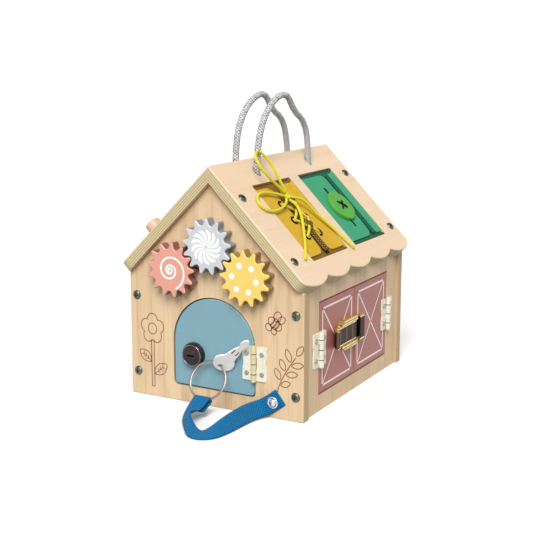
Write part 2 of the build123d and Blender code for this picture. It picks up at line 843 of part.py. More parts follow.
def felt_backing_piece(middle_y):
    """The sheet on the floor of a window's pocket."""
    with BuildPart() as sheet:
        with BuildSketch(right_roof.offset(-pocket_depth)):
            with Locations((window_middle, middle_y)):
                RectangleRounded(felt_length, felt_width, window_corner)
        extrude(amount=felt_backing)
    return sheet


def flap_outline(low_y, high_y, free_y):
    """A flap's outline with rounded corners along its free edge."""
    with BuildSketch(mode=Mode.PRIVATE) as outline:
        with Locations((window_middle, (low_y + high_y) / 2)):
            Rectangle(flap_length, high_y - low_y)
        free = outline.vertices().filter_by(lambda v: abs(v.Y - free_y) < felt_play)
        fillet(free, min(flap_corner, (high_y - low_y) / 2 - felt_play))
    return outline.sketch


lacing_low = lacing_window_y - felt_width / 2
lacing_high = lacing_window_y + felt_width / 2
left_free = lacing_window_y - lacing_opening / 2
right_free = lacing_window_y + lacing_opening / 2
eyelet_left = left_free - eyelet_inset
eyelet_right = right_free + eyelet_inset
button_low = button_window_y - felt_width / 2
button_high = button_window_y + felt_width / 2

finish(felt_backing_piece(lacing_window_y), "lacing_backing")
with BuildPart() as lacing_flaps:
    with BuildSketch(flap_plane):
        add(flap_outline(lacing_low, left_free, left_free))
    with BuildSketch(flap_plane):
        add(flap_outline(right_free, lacing_high, right_free))
    extrude(amount=felt_flap)
    eyelets = [spot(right_roof, slope, y) for slope in eyelet_slopes for y in (eyelet_left, eyelet_right)]
    drill(eyelets, eyelet_radius, pocket_depth - felt_backing)
finish(lacing_flaps, "lacing_flaps")

finish(felt_backing_piece(button_window_y), "button_backing")
with BuildPart() as button_flaps:
    with BuildSketch(flap_plane):
        add(flap_outline(button_low, button_seam_y, button_seam_y))
        with Locations((button_slope, button_y)):
            SlotOverall(buttonhole_length, buttonhole_width, mode=Mode.SUBTRACT)
    with BuildSketch(flap_plane):
        add(flap_outline(button_seam_y + felt_play, button_high, button_seam_y + felt_play))
    extrude(amount=felt_flap)
finish(button_flaps, "button_flaps")

with BuildPart() as button:
    with BuildSketch(right_roof.offset(flap_top + felt_play)):
        with Locations((button_slope, button_y)):
            Circle(button_radius)
            with GridLocations(button_hole_pitch, button_hole_pitch, 2, 2):
                Circle(button_hole, mode=Mode.SUBTRACT)
    extrude(amount=button_thickness)
    circles = button.edges().filter_by(GeomType.CIRCLE)
    rim = circles.filter_by(lambda e: e.radius > button_radius - button_round)
    fillet(rim.sort_by(Axis((0, 0, 0), right_normal))[-1:], button_round)
finish(button, "button")


# Cords: straight runs joined by arcs as large as the runs allow
def bend_radii(points):
    """The radius at each corner: 0.45 of the shorter run, over the tangent of half the turn."""
    radii = []
    for before, here, after in zip(points, points[1:], points[2:]):
        run_in = here - before
        run_out = after - here
        half_turn = radians(run_in.get_angle(run_out)) / 2
        radii.append(0.45 * min(run_in.length, run_out.length) / tan(half_turn))
    return radii


def cord(name, routes, diameter):
    """One tube along each route; prints its tightest bend and its volume against section times length."""
    section = pi * diameter**2 / 4
    expected = 0.0
    with BuildPart() as tube:
        for route in routes:
            points = [Vector(point) for point in route]
            radii = bend_radii(points)
            with BuildLine():
                path = FilletPolyline(*points, radius=radii)
            with BuildSketch(Plane(origin=path @ 0, z_dir=path % 0)):
                Circle(diameter / 2)
            sweep(path=path)
            expected += section * path.length
            print(name, "radii", [round(radius, 1) for radius in radii], "length", round(path.length, 1))
    print(name, "volume", round(tube.part.volume, 1), "expected", round(expected, 1))
    finish(tube, name)


# Rope handles: points along the ridge and above its underside, in the plane over the rope's holes
right_rope = [
    (-50.2, -rope_tuck),
    (-50.2, 2.0),
    (-48.6, 20.0),
    (-44.4, 37.0),
    (-34.5, 53.5),
    (-19.5, 65.0),
    (-6.0, 69.8),
    (8.5, 69.5),
    (17.0, 59.5),
    (26.0, 51.5),
    (38.5, 45.5),
    (47.8, 34.0),
    (51.4, 16.0),
    (51.7, 0.0),
    (51.7, -rope_tuck),
]
left_rope = [
    (-50.3, -rope_tuck),
    (-50.3, 2.0),
    (-49.6, 20.0),
    (-46.0, 39.0),
    (-35.5, 55.0),
    (-20.0, 66.0),
    (-4.0, 70.8),
    (7.5, 68.3),
    (15.5, 58.0),
    (25.0, 51.8),
    (36.0, 46.5),
    (44.5, 36.0),
    (48.8, 20.0),
    (51.2, 2.0),
    (51.7, -rope_tuck),
]
cord("rope_handle_right", [[(rope_x, y, ridge_under + z) for y, z in right_rope]], rope_diameter)
cord("rope_handle_left", [[(-rope_x, y, ridge_under + z) for y, z in left_rope]], rope_diameter)

with BuildPart() as rope_knots:
    for side, route in ((1, right_rope), (-1, left_rope)):
        for y, z in (route[0], route[-1]):
            with Locations((side * rope_x, y, ridge_under + z)):
                Cylinder(rope_knot_radius, rope_knot_height, align=(Align.CENTER, Align.CENTER, Align.MAX))
    ends = rope_knots.edges().filter_by(GeomType.CIRCLE)
    fillet(ends, rope_knot_round)
finish(rope_knots, "rope_knots")

# Lace: criss-cross between the eyelets, then a bow
lace_lift = flap_top + lace_diameter / 2 + felt_play
over_lift = lace_lift + lace_diameter + felt_play
lace_routes = []
for upper, lower in zip(eyelet_slopes, eyelet_slopes[1:]):
    middle = (upper + lower) / 2
    lace_routes.append(
        [
            roof_point(upper, eyelet_left, lace_lift),
            roof_point(middle - 0.6, lacing_window_y, lace_lift),
            roof_point(lower, eyelet_right, lace_lift),
        ]
    )
    lace_routes.append(
        [
            roof_point(upper, eyelet_right, lace_lift),
            roof_point(upper + 4.5, eyelet_right - 5.5, over_lift),
            roof_point(lower - 4.5, eyelet_left + 5.5, over_lift),
            roof_point(lower, eyelet_left, lace_lift),
        ]
    )
cord("lace_crossings", lace_routes, lace_diameter)



def lace_point(slope, across, lift):
    """A point of the bow: down the slope, along the ridge from the window's middle, and off the roof."""
    return roof_point(slope, lacing_window_y + across, lift)


knot_centre = lace_point(knot_slope, knot_offset, knot_height)
with BuildPart() as lace_knot:
    with Locations(knot_centre):
        Sphere(knot_radius)
finish(lace_knot, "lace_knot")

standing_loop = [
    (46.6, -3.2, 5.6),
    (38.0, -13.0, 8.5),
    (29.0, -22.5, 12.0),
    (19.0, -27.5, 14.5),
    (9.5, -25.0, 15.5),
    (4.5, -17.5, 16.0),
    (5.5, -9.5, 15.5),
    (13.0, -5.0, 14.5),
    (22.5, -4.0, 13.0),
    (33.0, -4.5, 10.0),
    (45.6, -0.2, 5.4),
]
lying_loop = [
    (47.6, -5.0, 2.8),
    (43.5, -13.0, 2.6),
    (40.0, -24.0, 2.2),
    (38.8, -35.5, 2.2),
    (42.0, -46.0, 2.2),
    (50.0, -51.0, 2.2),
    (57.6, -46.5, 2.2),
    (60.4, -35.5, 2.2),
    (59.6, -23.0, 3.0),
    (56.6, -12.0, 4.4),
    (51.6, -4.8, 3.2),
]
front_tail = [
    (53.8, -1.8, 3.6),
    (61.0, -4.6, 7.4),
    (70.5, -9.6, 8.0),
    (80.5, -15.6, 6.0),
    (90.5, -23.0, 3.2),
    (99.0, -31.0, 2.2),
    (106.0, -40.0, 2.2),
    (112.2, -48.4, 2.2),
]
rear_tail = [
    (51.4, 3.0, 3.8),
    (55.5, 11.0, 6.4),
    (62.5, 18.5, 5.2),
    (72.0, 24.0, 2.9),
    (83.5, 29.5, 2.2),
    (95.0, 34.0, 2.2),
    (107.0, 37.0, 2.2),
    (119.0, 41.5, 2.2),
]
loop_points = [[lace_point(*p) for p in loop] for loop in (standing_loop, lying_loop)]
cord("lace_loops", loop_points, lace_diameter)
tail_points = [[lace_point(*p) for p in tail] for tail in (front_tail, rear_tail)]
cord("lace_tails", tail_points, lace_diameter)

# Sliding knobs on the left roof board, each on a headed peg
for name, (slope, along) in zip(("wood", "grey"), knob_spots):
    base = Plane(origin=left_roof.from_local_coords((slope, along, 0)), x_dir=left_slope, z_dir=left_normal)
    turned = Plane(origin=base.origin, x_dir=left_slope, z_dir=(0, 1, 0))
    with BuildPart() as knob:
        with BuildSketch(turned) as profile:
            with BuildLine():
                Polyline(
                    (0, knob_height),
                    (0, knob_play),
                    (knob_neck_radius, knob_play),
                    (knob_neck_radius, knob_neck_height),
                    (knob_radius, knob_neck_height),
                    (knob_radius, knob_height),
                    close=True,
                )
            make_face()
            fillet(profile.vertices().group_by(Axis.X)[-1], knob_round)
        revolve(axis=Axis(base.origin, base.z_dir))
        with BuildSketch(base.offset(knob_play)):
            Circle(peg_radius)
        extrude(amount=peg_seat, mode=Mode.SUBTRACT)
    finish(knob, f"{name}_knob")
    with BuildPart() as peg:
        with BuildSketch(base.offset(-board - knob_play)):
            Circle(peg_radius)
        extrude(amount=board + 2 * knob_play + peg_seat)
        with BuildSketch(base.offset(-board - knob_play)):
            Circle(peg_head_radius)
        extrude(amount=-peg_head_thickness)
    finish(peg, f"{name}_peg")

# Key ring leaning back towards the door, with the key hung on it
ring_up = Vector(0, sin(radians(ring_lean)), cos(radians(ring_lean)))
ring_centre = Vector(ring_x, front_y - ring_forward, ring_height)
ring_plane = Plane(origin=ring_centre, x_dir=(1, 0, 0), z_dir=Vector(1, 0, 0).cross(ring_up))
with BuildPart() as key_ring:
    with Locations(Location(ring_plane)):
        Torus(ring_radius, ring_wire)
finish(key_ring, "key_ring")

eye_turn = radians(key_eye_angle)
eye_across = Vector(1, 0, 0) * (ring_radius * cos(eye_turn))
key_eye = ring_centre + eye_across + ring_up * (ring_radius * sin(eye_turn))
key_axis = Vector(key_pointing).normalized()
outward = Vector(0, -1, 0)
flat_normal = (outward - key_axis * key_axis.dot(outward)).normalized()
key_normal = flat_normal.rotate(Axis((0, 0, 0), key_axis), key_roll)
key_plane = Plane(origin=key_eye, x_dir=key_axis, z_dir=key_normal)
blade_start = key_eye_inset + key_head_radius - 1.0
blade_end = key_length - key_head_radius + key_eye_inset
half_blade = key_blade_width / 2
half_shoulder = key_shoulder_width / 2
half_waist = key_waist_width / 2
shoulder_end = blade_start + key_shoulder_length
tip_start = blade_end - key_tip_length
with BuildPart() as key:
    with BuildSketch(key_plane):
        with Locations((key_eye_inset, 0)):
            Circle(key_head_radius)
        with BuildLine():
            Polyline(
                (blade_start, half_shoulder),
                (shoulder_end, half_shoulder * 0.7),
                (tip_start, half_waist),
                (tip_start + 0.4 * key_tip_length, half_blade),
                (blade_end - 0.2 * key_tip_length, half_blade * 0.8),
                (blade_end, 0.8),
                (blade_end, -0.8),
                (blade_end - 0.2 * key_tip_length, -half_blade * 0.8),
                (tip_start + 0.4 * key_tip_length, -half_blade),
                (tip_start, -half_waist),
                (shoulder_end, -half_shoulder * 0.7),
                (blade_start, -half_shoulder),
                close=True,
            )
        make_face()
        Circle(key_eye_radius, mode=Mode.SUBTRACT)
        with Locations(*[(shoulder_end - key_groove_length * 0.3, s * key_groove_spread) for s in (-1, 1)]):
            SlotOverall(key_groove_length, key_groove_width, mode=Mode.SUBTRACT)
    extrude(amount=key_thickness / 2, both=True)
finish(key, "key")

# Strap: webbing from the rivet to the floor in front, and back up to a sewn loop round the ring
ring_foot = ring_centre - ring_up * ring_radius
panel_lift = strap_thickness / 2
# Each place on the strap: share of the way from ring to rivet, reach before the panel, height, and lie
strap_route = [
    ((1.126, panel_lift, 20.4), (-0.62, 0.0, 0.785)),
    ((0.908, panel_lift, 10.3), (-0.62, 0.0, 0.785)),
    ((0.809, 5.5, 8.2), (-0.56, 0.03, 0.83)),
    ((0.754, 18.0, 8.2), (-0.52, 0.10, 0.85)),
    ((0.720, 36.0, 7.4), (-0.55, 0.22, 0.80)),
    ((0.689, 52.0, 6.0), (-0.62, 0.42, 0.66)),
    ((0.625, 65.0, 3.4), (-0.65, 0.68, 0.34)),
    ((0.478, 72.0, 1.4), (-0.35, 0.93, 0.06)),
    ((0.299, 68.5, 2.0), (0.35, 0.92, 0.14)),
    ((0.145, 59.5, 3.8), (0.72, 0.60, 0.34)),
    ((0.034, 47.5, 6.0), (0.86, 0.34, 0.38)),
    ((-0.017, 36.0, 8.0), (0.95, 0.12, 0.22)),
]
loop_wall = strap_loop_radius + strap_thickness / 2
loop_entry = (0.0, front_y - ring_foot.Y + 0.78 * loop_wall, ring_foot.Z - 0.62 * loop_wall)
strap_route.append((loop_entry, (1.0, 0.0, 0.0)))
strap_span = rivet_x - ring_x
strap_line = [
    Vector(ring_x + share * strap_span, front_y - forward, z) for (share, forward, z), across in strap_route
]
strap_across = [Vector(across).normalized() for place, across in strap_route]
strap_length = sum((after - before).length for before, after in zip(strap_line, strap_line[1:]))
print("strap length", round(strap_length + 2 * pi * loop_wall, 1))
with BuildPart() as key_strap:
    for index, (place, across) in enumerate(zip(strap_line, strap_across)):
        before = strap_line[max(index - 1, 0)]
        after = strap_line[min(index + 1, len(strap_line) - 1)]
        heading = (after - before).normalized()
        heading = (heading - across * heading.dot(across)).normalized()
        with BuildSketch(Plane(origin=place, x_dir=across, z_dir=heading)):
            Rectangle(strap_width, strap_thickness)
    loft(ruled=True)
    with BuildSketch(Plane(origin=ring_foot, x_dir=(0, 1, 0), z_dir=(1, 0, 0))):
        Circle(strap_loop_radius + strap_thickness)
        Circle(strap_loop_radius, mode=Mode.SUBTRACT)
    extrude(amount=strap_width / 2, both=True)
    with Locations(spot(front_face, rivet_x, rivet_height)):
        Cylinder(rivet_shank_radius + rivet_play, 4 * strap_thickness, mode=Mode.SUBTRACT)
finish(key_strap, "key_strap")

rivet_section = Plane(origin=(rivet_x, front_y, rivet_height), x_dir=(1, 0, 0), z_dir=(0, 0, 1))
with BuildPart() as strap_rivet:
    with BuildSketch(rivet_section):
        with BuildLine():
            Polyline(
                (rivet_radius, -strap_thickness),
                (rivet_shank_radius, -strap_thickness),
                (rivet_shank_radius, board),
                (rivet_tail_radius, board),
                (rivet_tail_radius, board + rivet_tail),
                (0, board + rivet_tail),
                (0, -strap_thickness - rivet_rise),
            )
            ThreePointArc(
                (0, -strap_thickness - rivet_rise),
                (rivet_radius * 0.7, -strap_thickness - rivet_rise * 0.66),
                (rivet_radius, -strap_thickness),
            )
        make_face()
    revolve(axis=Axis((rivet_x, front_y, rivet_height), (0, 1, 0)))
finish(strap_rivet, "strap_rivet")
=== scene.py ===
"""Looks of a wooden busy house: finishes, felt windows, lace, rope handles, key strap and printed artwork."""

import json
import math

import bmesh
import bpy
from mathutils import Matrix, Vector
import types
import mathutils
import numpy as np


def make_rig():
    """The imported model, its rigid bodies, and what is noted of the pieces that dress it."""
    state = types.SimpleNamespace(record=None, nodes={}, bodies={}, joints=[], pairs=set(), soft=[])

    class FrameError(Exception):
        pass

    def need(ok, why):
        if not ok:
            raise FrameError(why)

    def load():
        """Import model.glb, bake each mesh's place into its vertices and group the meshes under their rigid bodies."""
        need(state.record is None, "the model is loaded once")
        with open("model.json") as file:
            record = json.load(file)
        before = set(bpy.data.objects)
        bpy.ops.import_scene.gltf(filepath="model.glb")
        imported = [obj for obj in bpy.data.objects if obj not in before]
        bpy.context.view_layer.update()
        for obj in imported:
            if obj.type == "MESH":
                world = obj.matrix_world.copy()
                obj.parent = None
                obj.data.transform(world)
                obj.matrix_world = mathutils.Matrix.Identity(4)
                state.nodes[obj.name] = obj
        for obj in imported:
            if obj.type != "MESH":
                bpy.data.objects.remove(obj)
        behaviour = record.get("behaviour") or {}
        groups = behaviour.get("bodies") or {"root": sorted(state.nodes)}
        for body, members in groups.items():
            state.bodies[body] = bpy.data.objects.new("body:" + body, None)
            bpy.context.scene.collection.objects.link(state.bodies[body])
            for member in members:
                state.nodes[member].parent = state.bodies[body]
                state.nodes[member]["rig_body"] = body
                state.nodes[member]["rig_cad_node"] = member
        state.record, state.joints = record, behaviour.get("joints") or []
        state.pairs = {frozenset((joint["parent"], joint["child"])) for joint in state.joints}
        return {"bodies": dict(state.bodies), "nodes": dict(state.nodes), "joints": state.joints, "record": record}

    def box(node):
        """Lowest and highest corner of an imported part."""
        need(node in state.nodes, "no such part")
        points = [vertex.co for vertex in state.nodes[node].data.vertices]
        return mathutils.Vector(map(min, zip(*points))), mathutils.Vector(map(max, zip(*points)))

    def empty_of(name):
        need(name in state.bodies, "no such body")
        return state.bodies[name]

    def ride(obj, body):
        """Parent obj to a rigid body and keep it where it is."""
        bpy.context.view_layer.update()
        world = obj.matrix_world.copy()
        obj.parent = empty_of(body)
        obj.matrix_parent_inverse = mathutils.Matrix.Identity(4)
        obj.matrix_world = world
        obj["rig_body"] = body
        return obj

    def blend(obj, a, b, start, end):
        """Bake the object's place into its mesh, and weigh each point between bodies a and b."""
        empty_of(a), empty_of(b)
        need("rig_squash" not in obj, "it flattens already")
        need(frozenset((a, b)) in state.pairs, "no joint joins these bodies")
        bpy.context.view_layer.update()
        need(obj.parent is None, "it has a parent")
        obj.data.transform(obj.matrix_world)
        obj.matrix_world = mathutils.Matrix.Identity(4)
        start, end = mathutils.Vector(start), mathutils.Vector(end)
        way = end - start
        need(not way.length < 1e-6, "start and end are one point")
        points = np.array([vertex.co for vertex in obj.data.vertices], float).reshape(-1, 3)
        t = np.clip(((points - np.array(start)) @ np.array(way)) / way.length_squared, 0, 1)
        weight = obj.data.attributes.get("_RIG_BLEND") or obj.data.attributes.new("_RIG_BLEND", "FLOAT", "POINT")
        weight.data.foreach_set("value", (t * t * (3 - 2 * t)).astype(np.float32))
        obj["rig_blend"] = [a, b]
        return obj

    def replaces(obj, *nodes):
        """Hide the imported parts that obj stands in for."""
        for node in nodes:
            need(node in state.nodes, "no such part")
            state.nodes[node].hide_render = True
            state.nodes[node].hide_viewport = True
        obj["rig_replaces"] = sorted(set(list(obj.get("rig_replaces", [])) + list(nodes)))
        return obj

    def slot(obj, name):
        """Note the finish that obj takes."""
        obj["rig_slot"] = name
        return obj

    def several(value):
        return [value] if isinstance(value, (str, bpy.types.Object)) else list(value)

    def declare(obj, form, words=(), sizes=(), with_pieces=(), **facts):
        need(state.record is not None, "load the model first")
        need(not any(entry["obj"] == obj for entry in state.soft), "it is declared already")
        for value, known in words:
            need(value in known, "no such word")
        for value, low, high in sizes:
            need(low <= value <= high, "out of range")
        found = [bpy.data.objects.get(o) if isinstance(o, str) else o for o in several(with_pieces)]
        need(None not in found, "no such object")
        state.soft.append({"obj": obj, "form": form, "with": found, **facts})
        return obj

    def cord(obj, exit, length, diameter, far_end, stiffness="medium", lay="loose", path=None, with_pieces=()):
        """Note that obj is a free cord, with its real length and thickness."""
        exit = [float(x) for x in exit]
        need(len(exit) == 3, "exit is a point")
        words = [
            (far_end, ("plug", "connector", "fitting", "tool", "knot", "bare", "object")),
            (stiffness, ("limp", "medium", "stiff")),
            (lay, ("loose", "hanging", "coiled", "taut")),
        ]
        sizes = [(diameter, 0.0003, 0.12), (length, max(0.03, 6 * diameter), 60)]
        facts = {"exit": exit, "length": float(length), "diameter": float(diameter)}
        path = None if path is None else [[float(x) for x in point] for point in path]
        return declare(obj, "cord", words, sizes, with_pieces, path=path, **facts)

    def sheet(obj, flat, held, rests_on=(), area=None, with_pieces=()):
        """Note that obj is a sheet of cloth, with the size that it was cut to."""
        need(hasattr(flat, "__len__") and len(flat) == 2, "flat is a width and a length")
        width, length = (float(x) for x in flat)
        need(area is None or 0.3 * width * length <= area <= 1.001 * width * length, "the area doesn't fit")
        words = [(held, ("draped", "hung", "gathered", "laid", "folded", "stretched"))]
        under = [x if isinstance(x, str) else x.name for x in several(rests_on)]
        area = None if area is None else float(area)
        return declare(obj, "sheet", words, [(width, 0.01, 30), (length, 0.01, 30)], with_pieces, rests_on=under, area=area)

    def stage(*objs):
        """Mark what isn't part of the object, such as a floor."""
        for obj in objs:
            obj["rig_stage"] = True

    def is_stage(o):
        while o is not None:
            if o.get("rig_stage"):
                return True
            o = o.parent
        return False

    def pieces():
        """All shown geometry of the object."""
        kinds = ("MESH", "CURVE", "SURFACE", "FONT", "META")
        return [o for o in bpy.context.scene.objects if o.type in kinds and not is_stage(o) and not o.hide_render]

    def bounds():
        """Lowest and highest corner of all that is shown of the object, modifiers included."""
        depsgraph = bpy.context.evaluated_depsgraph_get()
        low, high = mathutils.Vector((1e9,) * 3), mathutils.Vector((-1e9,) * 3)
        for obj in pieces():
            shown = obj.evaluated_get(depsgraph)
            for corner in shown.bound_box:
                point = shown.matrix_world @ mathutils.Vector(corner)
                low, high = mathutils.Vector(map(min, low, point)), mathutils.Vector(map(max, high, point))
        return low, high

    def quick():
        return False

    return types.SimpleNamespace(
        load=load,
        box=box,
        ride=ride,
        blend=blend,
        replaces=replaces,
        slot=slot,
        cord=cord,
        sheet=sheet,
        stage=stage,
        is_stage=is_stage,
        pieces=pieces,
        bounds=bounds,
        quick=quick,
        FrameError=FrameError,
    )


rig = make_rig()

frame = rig.load()
cad_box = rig.bounds()

bl_info = {
    "name": "Busy House",
    "version": (1, 0, 0),
    "blender": (4, 5, 0),
    "location": "View3D > Sidebar > Busy House",
    "description": "Dresses a wooden activity house: paint, felt, cords, webbing and stage",
    "category": "Object",
}

MM = 0.001
NODES = frame["nodes"]

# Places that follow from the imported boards
FRONT_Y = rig.box("front_panel")[0][1]
SIDE_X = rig.box("side_door_front")[1][0]
RIDGE_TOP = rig.box("right_roof_board")[1][2]
SLOPE_DIR = Vector((math.sqrt(0.5), 0.0, -math.sqrt(0.5)))
ROOF_NORMAL = Vector((math.sqrt(0.5), 0.0, math.sqrt(0.5)))
FLAP_TOP = -1.2
WINDOW_TOP = 28.5
WINDOW_LENGTH = 87.5
FLAP_MARGIN = 5.0
EYELET_SLOPES = (54.0, 72.5, 91.0)
EYELET_LEFT = -51.55
EYELET_RIGHT = -28.45
LACING_Y = -40.0
STRAND_PHASES = (0.0, 2.1, 4.2)
OUT_OF_GABLE = Vector((0.0, -1.0, 0.0))
SCREW_GREY = (0.3, 0.3, 0.31)


def roof_point(slope, y, lift):
    """A point over the right roof board: millimetres down its slope, along the ridge and off its face."""
    return Vector((0.0, y * MM, RIDGE_TOP)) + SLOPE_DIR * (slope * MM) + ROOF_NORMAL * (lift * MM)


def front_point(x, z, lift=0.0):
    """A point on the gable's face, from millimetres across, up and out of it."""
    return Vector((x * MM, FRONT_Y - lift * MM, z * MM))


def on_circle(turn, reach=1.0):
    """A step in the gable's plane, towards an angle in radians."""
    return Vector((math.cos(turn), 0.0, math.sin(turn))) * reach


def box_middle(name):
    low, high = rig.box(name)
    return [(a + b) / 2 for a, b in zip(low, high)]


def colour(name, description, rgb):
    """A colour property whose default is given as the paint's red, green and blue of 255."""
    linear = [((c / 255 + 0.055) / 1.055) ** 2.4 if c > 10 else c / 255 / 12.92 for c in rgb]
    return bpy.props.FloatVectorProperty(
        name=name, description=description, subtype="COLOR", size=3, min=0.0, max=1.0, default=linear
    )


def length(name, description, millimetres):
    """A length property, in metres, whose default is given in millimetres."""
    return bpy.props.FloatProperty(
        name=name, description=description, unit="LENGTH", default=millimetres * MM
    )


def camera_angle(name, description, degrees):
    """An angle property whose default is given in degrees."""
    return bpy.props.FloatProperty(
        name=name, description=description, subtype="ANGLE", default=math.radians(degrees)
    )


class BusyHouseWood(bpy.types.PropertyGroup):
    """Bare and painted wood."""

    wall: colour("Wall face", "Pale wood of the walls and gables", (234, 205, 166))
    # Painted shade: the rear gable's wood is the wall wood made darker, standing in for the shade on that board.
    back: colour("Back board", "Slightly darker wood of the rear gable", (204, 177, 143))
    roof: colour("Roof face", "Paler, pinkish veneer of the roof boards", (233, 206, 175))
    grain: colour("Grain", "Darker streaks of the grain", (196, 162, 124))
    edge: colour("Board edge", "Sawn edges of the walls and gables", (200, 182, 140))
    ply_light: colour("Ply light", "Light layers on the roof boards' edges", (246, 232, 188))
    ply_dark: colour("Ply dark", "Dark glue lines on the roof boards' edges", (150, 126, 80))
    door_blue: colour("Door blue", "Paint of the round-headed door", (127, 167, 180))
    barn_red: colour("Barn red", "Print on the pair of side doors", (175, 106, 98))
    barn_line: colour("Barn lines", "Pale lines on the side doors", (250, 236, 230))
    gear_pink: colour("Pink", "Paint of the pink gear", (230, 162, 144))
    gear_grey: colour("Grey", "Paint of the grey gear", (208, 211, 214))
    gear_yellow: colour("Yellow", "Paint of the yellow gear", (246, 212, 112))
    # Painted shade: darker colours for the sides of the gears' teeth, standing in for the shade there.
    pink_side: colour("Pink sides", "Deeper coat on the pink gear's teeth", (140, 96, 86))
    grey_side: colour("Grey sides", "Deeper coat on the grey gear's teeth", (134, 140, 146))
    yellow_side: colour("Yellow sides", "Deeper coat on the yellow gear's teeth", (150, 122, 78))
    artwork: colour("White print", "Spiral, swirl and dots on the gears", (253, 253, 251))
    burnt_line: colour("Burnt line", "Engraved drawings on the gable", (146, 92, 62))
    knob: colour("Turned knob", "Bare wood of the sliding knob", (224, 184, 156))


class BusyHouseMetal(bpy.types.PropertyGroup):
    """Hinges, screws, lock, latch, ring and key."""

    enamel: colour("Hinge enamel", "Cream enamel of the hinges", (240, 237, 220))
    zinc: colour("Dark zinc", "Screws that hold the boards", (112, 116, 106))
    bright: colour("Bright plate", "Lock nut, cam and strap rivet", (226, 226, 228))
    # Painted reflection: the cam lock's glossy black is brownish on its upper half and bluish on its lower half.
    lock_top_reflection: colour("Lock, upper half", "Brownish black of the cam lock", (46, 31, 37))
    lock_low_reflection: colour("Lock, lower half", "Bluish black of the cam lock", (7, 10, 22))
    lock_line: colour("Lock bevel", "Polished line round the cam lock's face", (150, 140, 146))
    brass: colour("Brass", "Bright brass of the latch", (236, 214, 140))
    barrel: colour("Hinge barrel", "Brassy barrels of the hinges", (214, 194, 138))
    screw: colour("Hinge screws", "Zinc of the hinges' screws", (170, 166, 152))
    steel: colour("Key steel", "Bright steel of the key", (255, 252, 248))
    ring_steel: colour("Ring steel", "Steel wire of the key ring", (176, 162, 156))
    # Painted highlight: pale lines across the latch bolt's dark band stand in for glints on it.
    bolt_highlight: colour("Bolt lines", "Worn lines across the latch bolt", (176, 156, 142))
    # Dark bronze patina of the latch; the same colour is also painted shade on plates in the key's grooves.
    patina_and_groove_shade: colour("Patina", "Dark bronze of the latch bolt and its grooves", (58, 38, 29))


class BusyHouseSoft(bpy.types.PropertyGroup):
    """Felt, lace, rope and webbing."""

    yellow_felt: colour("Yellow felt", "Flaps of the lacing window", (208, 166, 34))
    brown_cloth: colour("Brown cloth", "Cloth behind the lacing", (128, 92, 20))
    green_felt: colour("Green felt", "Flaps of the button window", (56, 156, 112))
    dark_green: colour("Dark green felt", "Cloth behind the button flaps", (22, 92, 70))
    seam: colour("Seam thread", "Dark green thread between the button flaps", (36, 110, 84))
    braid: colour("Braid", "Brown braid over the lacing flaps' seam", (166, 130, 52))
    net: colour("Net thread", "Dark thread that crosses over the brown braid", (84, 58, 20))
    button: colour("Button", "Glossy green plastic", (84, 166, 62))
    lace: colour("Lace", "Round woven lace", (232, 223, 56))
    thread: colour("Thread", "Black sewing thread and eyelet rings", (22, 20, 16))
    rope: colour("Rope", "Grey braided rope", (190, 189, 190))
    webbing: colour("Webbing", "Blue key strap", (10, 108, 160))
    rope_diameter: length("Rope diameter", "Thickness of the carrying ropes", 6.0)
    lace_diameter: length("Lace diameter", "Thickness of the lace", 2.6)
    strap_width: length("Strap width", "Width of the key strap", 16.0)
    strap_thickness: length("Strap thickness", "Thickness of the key strap", 1.4)
    felt_thickness: length("Felt thickness", "Thickness of the flaps", 1.5)


class BusyHouseStage(bpy.types.PropertyGroup):
    """Floor, light and camera."""

    floor: colour("Floor", "Pale floor under the house", (250, 250, 250))
    azimuth: camera_angle("Azimuth", "Camera's turn round the house", 29.13)
    elevation: camera_angle("Elevation", "Camera's height angle", 11.75)
    distance: length("Distance", "Camera's distance from its target", 1059.9)
    target: bpy.props.FloatVectorProperty(
        name="Target",
        description="Point that the camera looks at",
        subtype="TRANSLATION",
        unit="LENGTH",
        default=(-0.00661, -0.00015, 0.10891),
    )
    lens: bpy.props.FloatProperty(name="Lens", description="Focal length", unit="CAMERA", default=73.92)


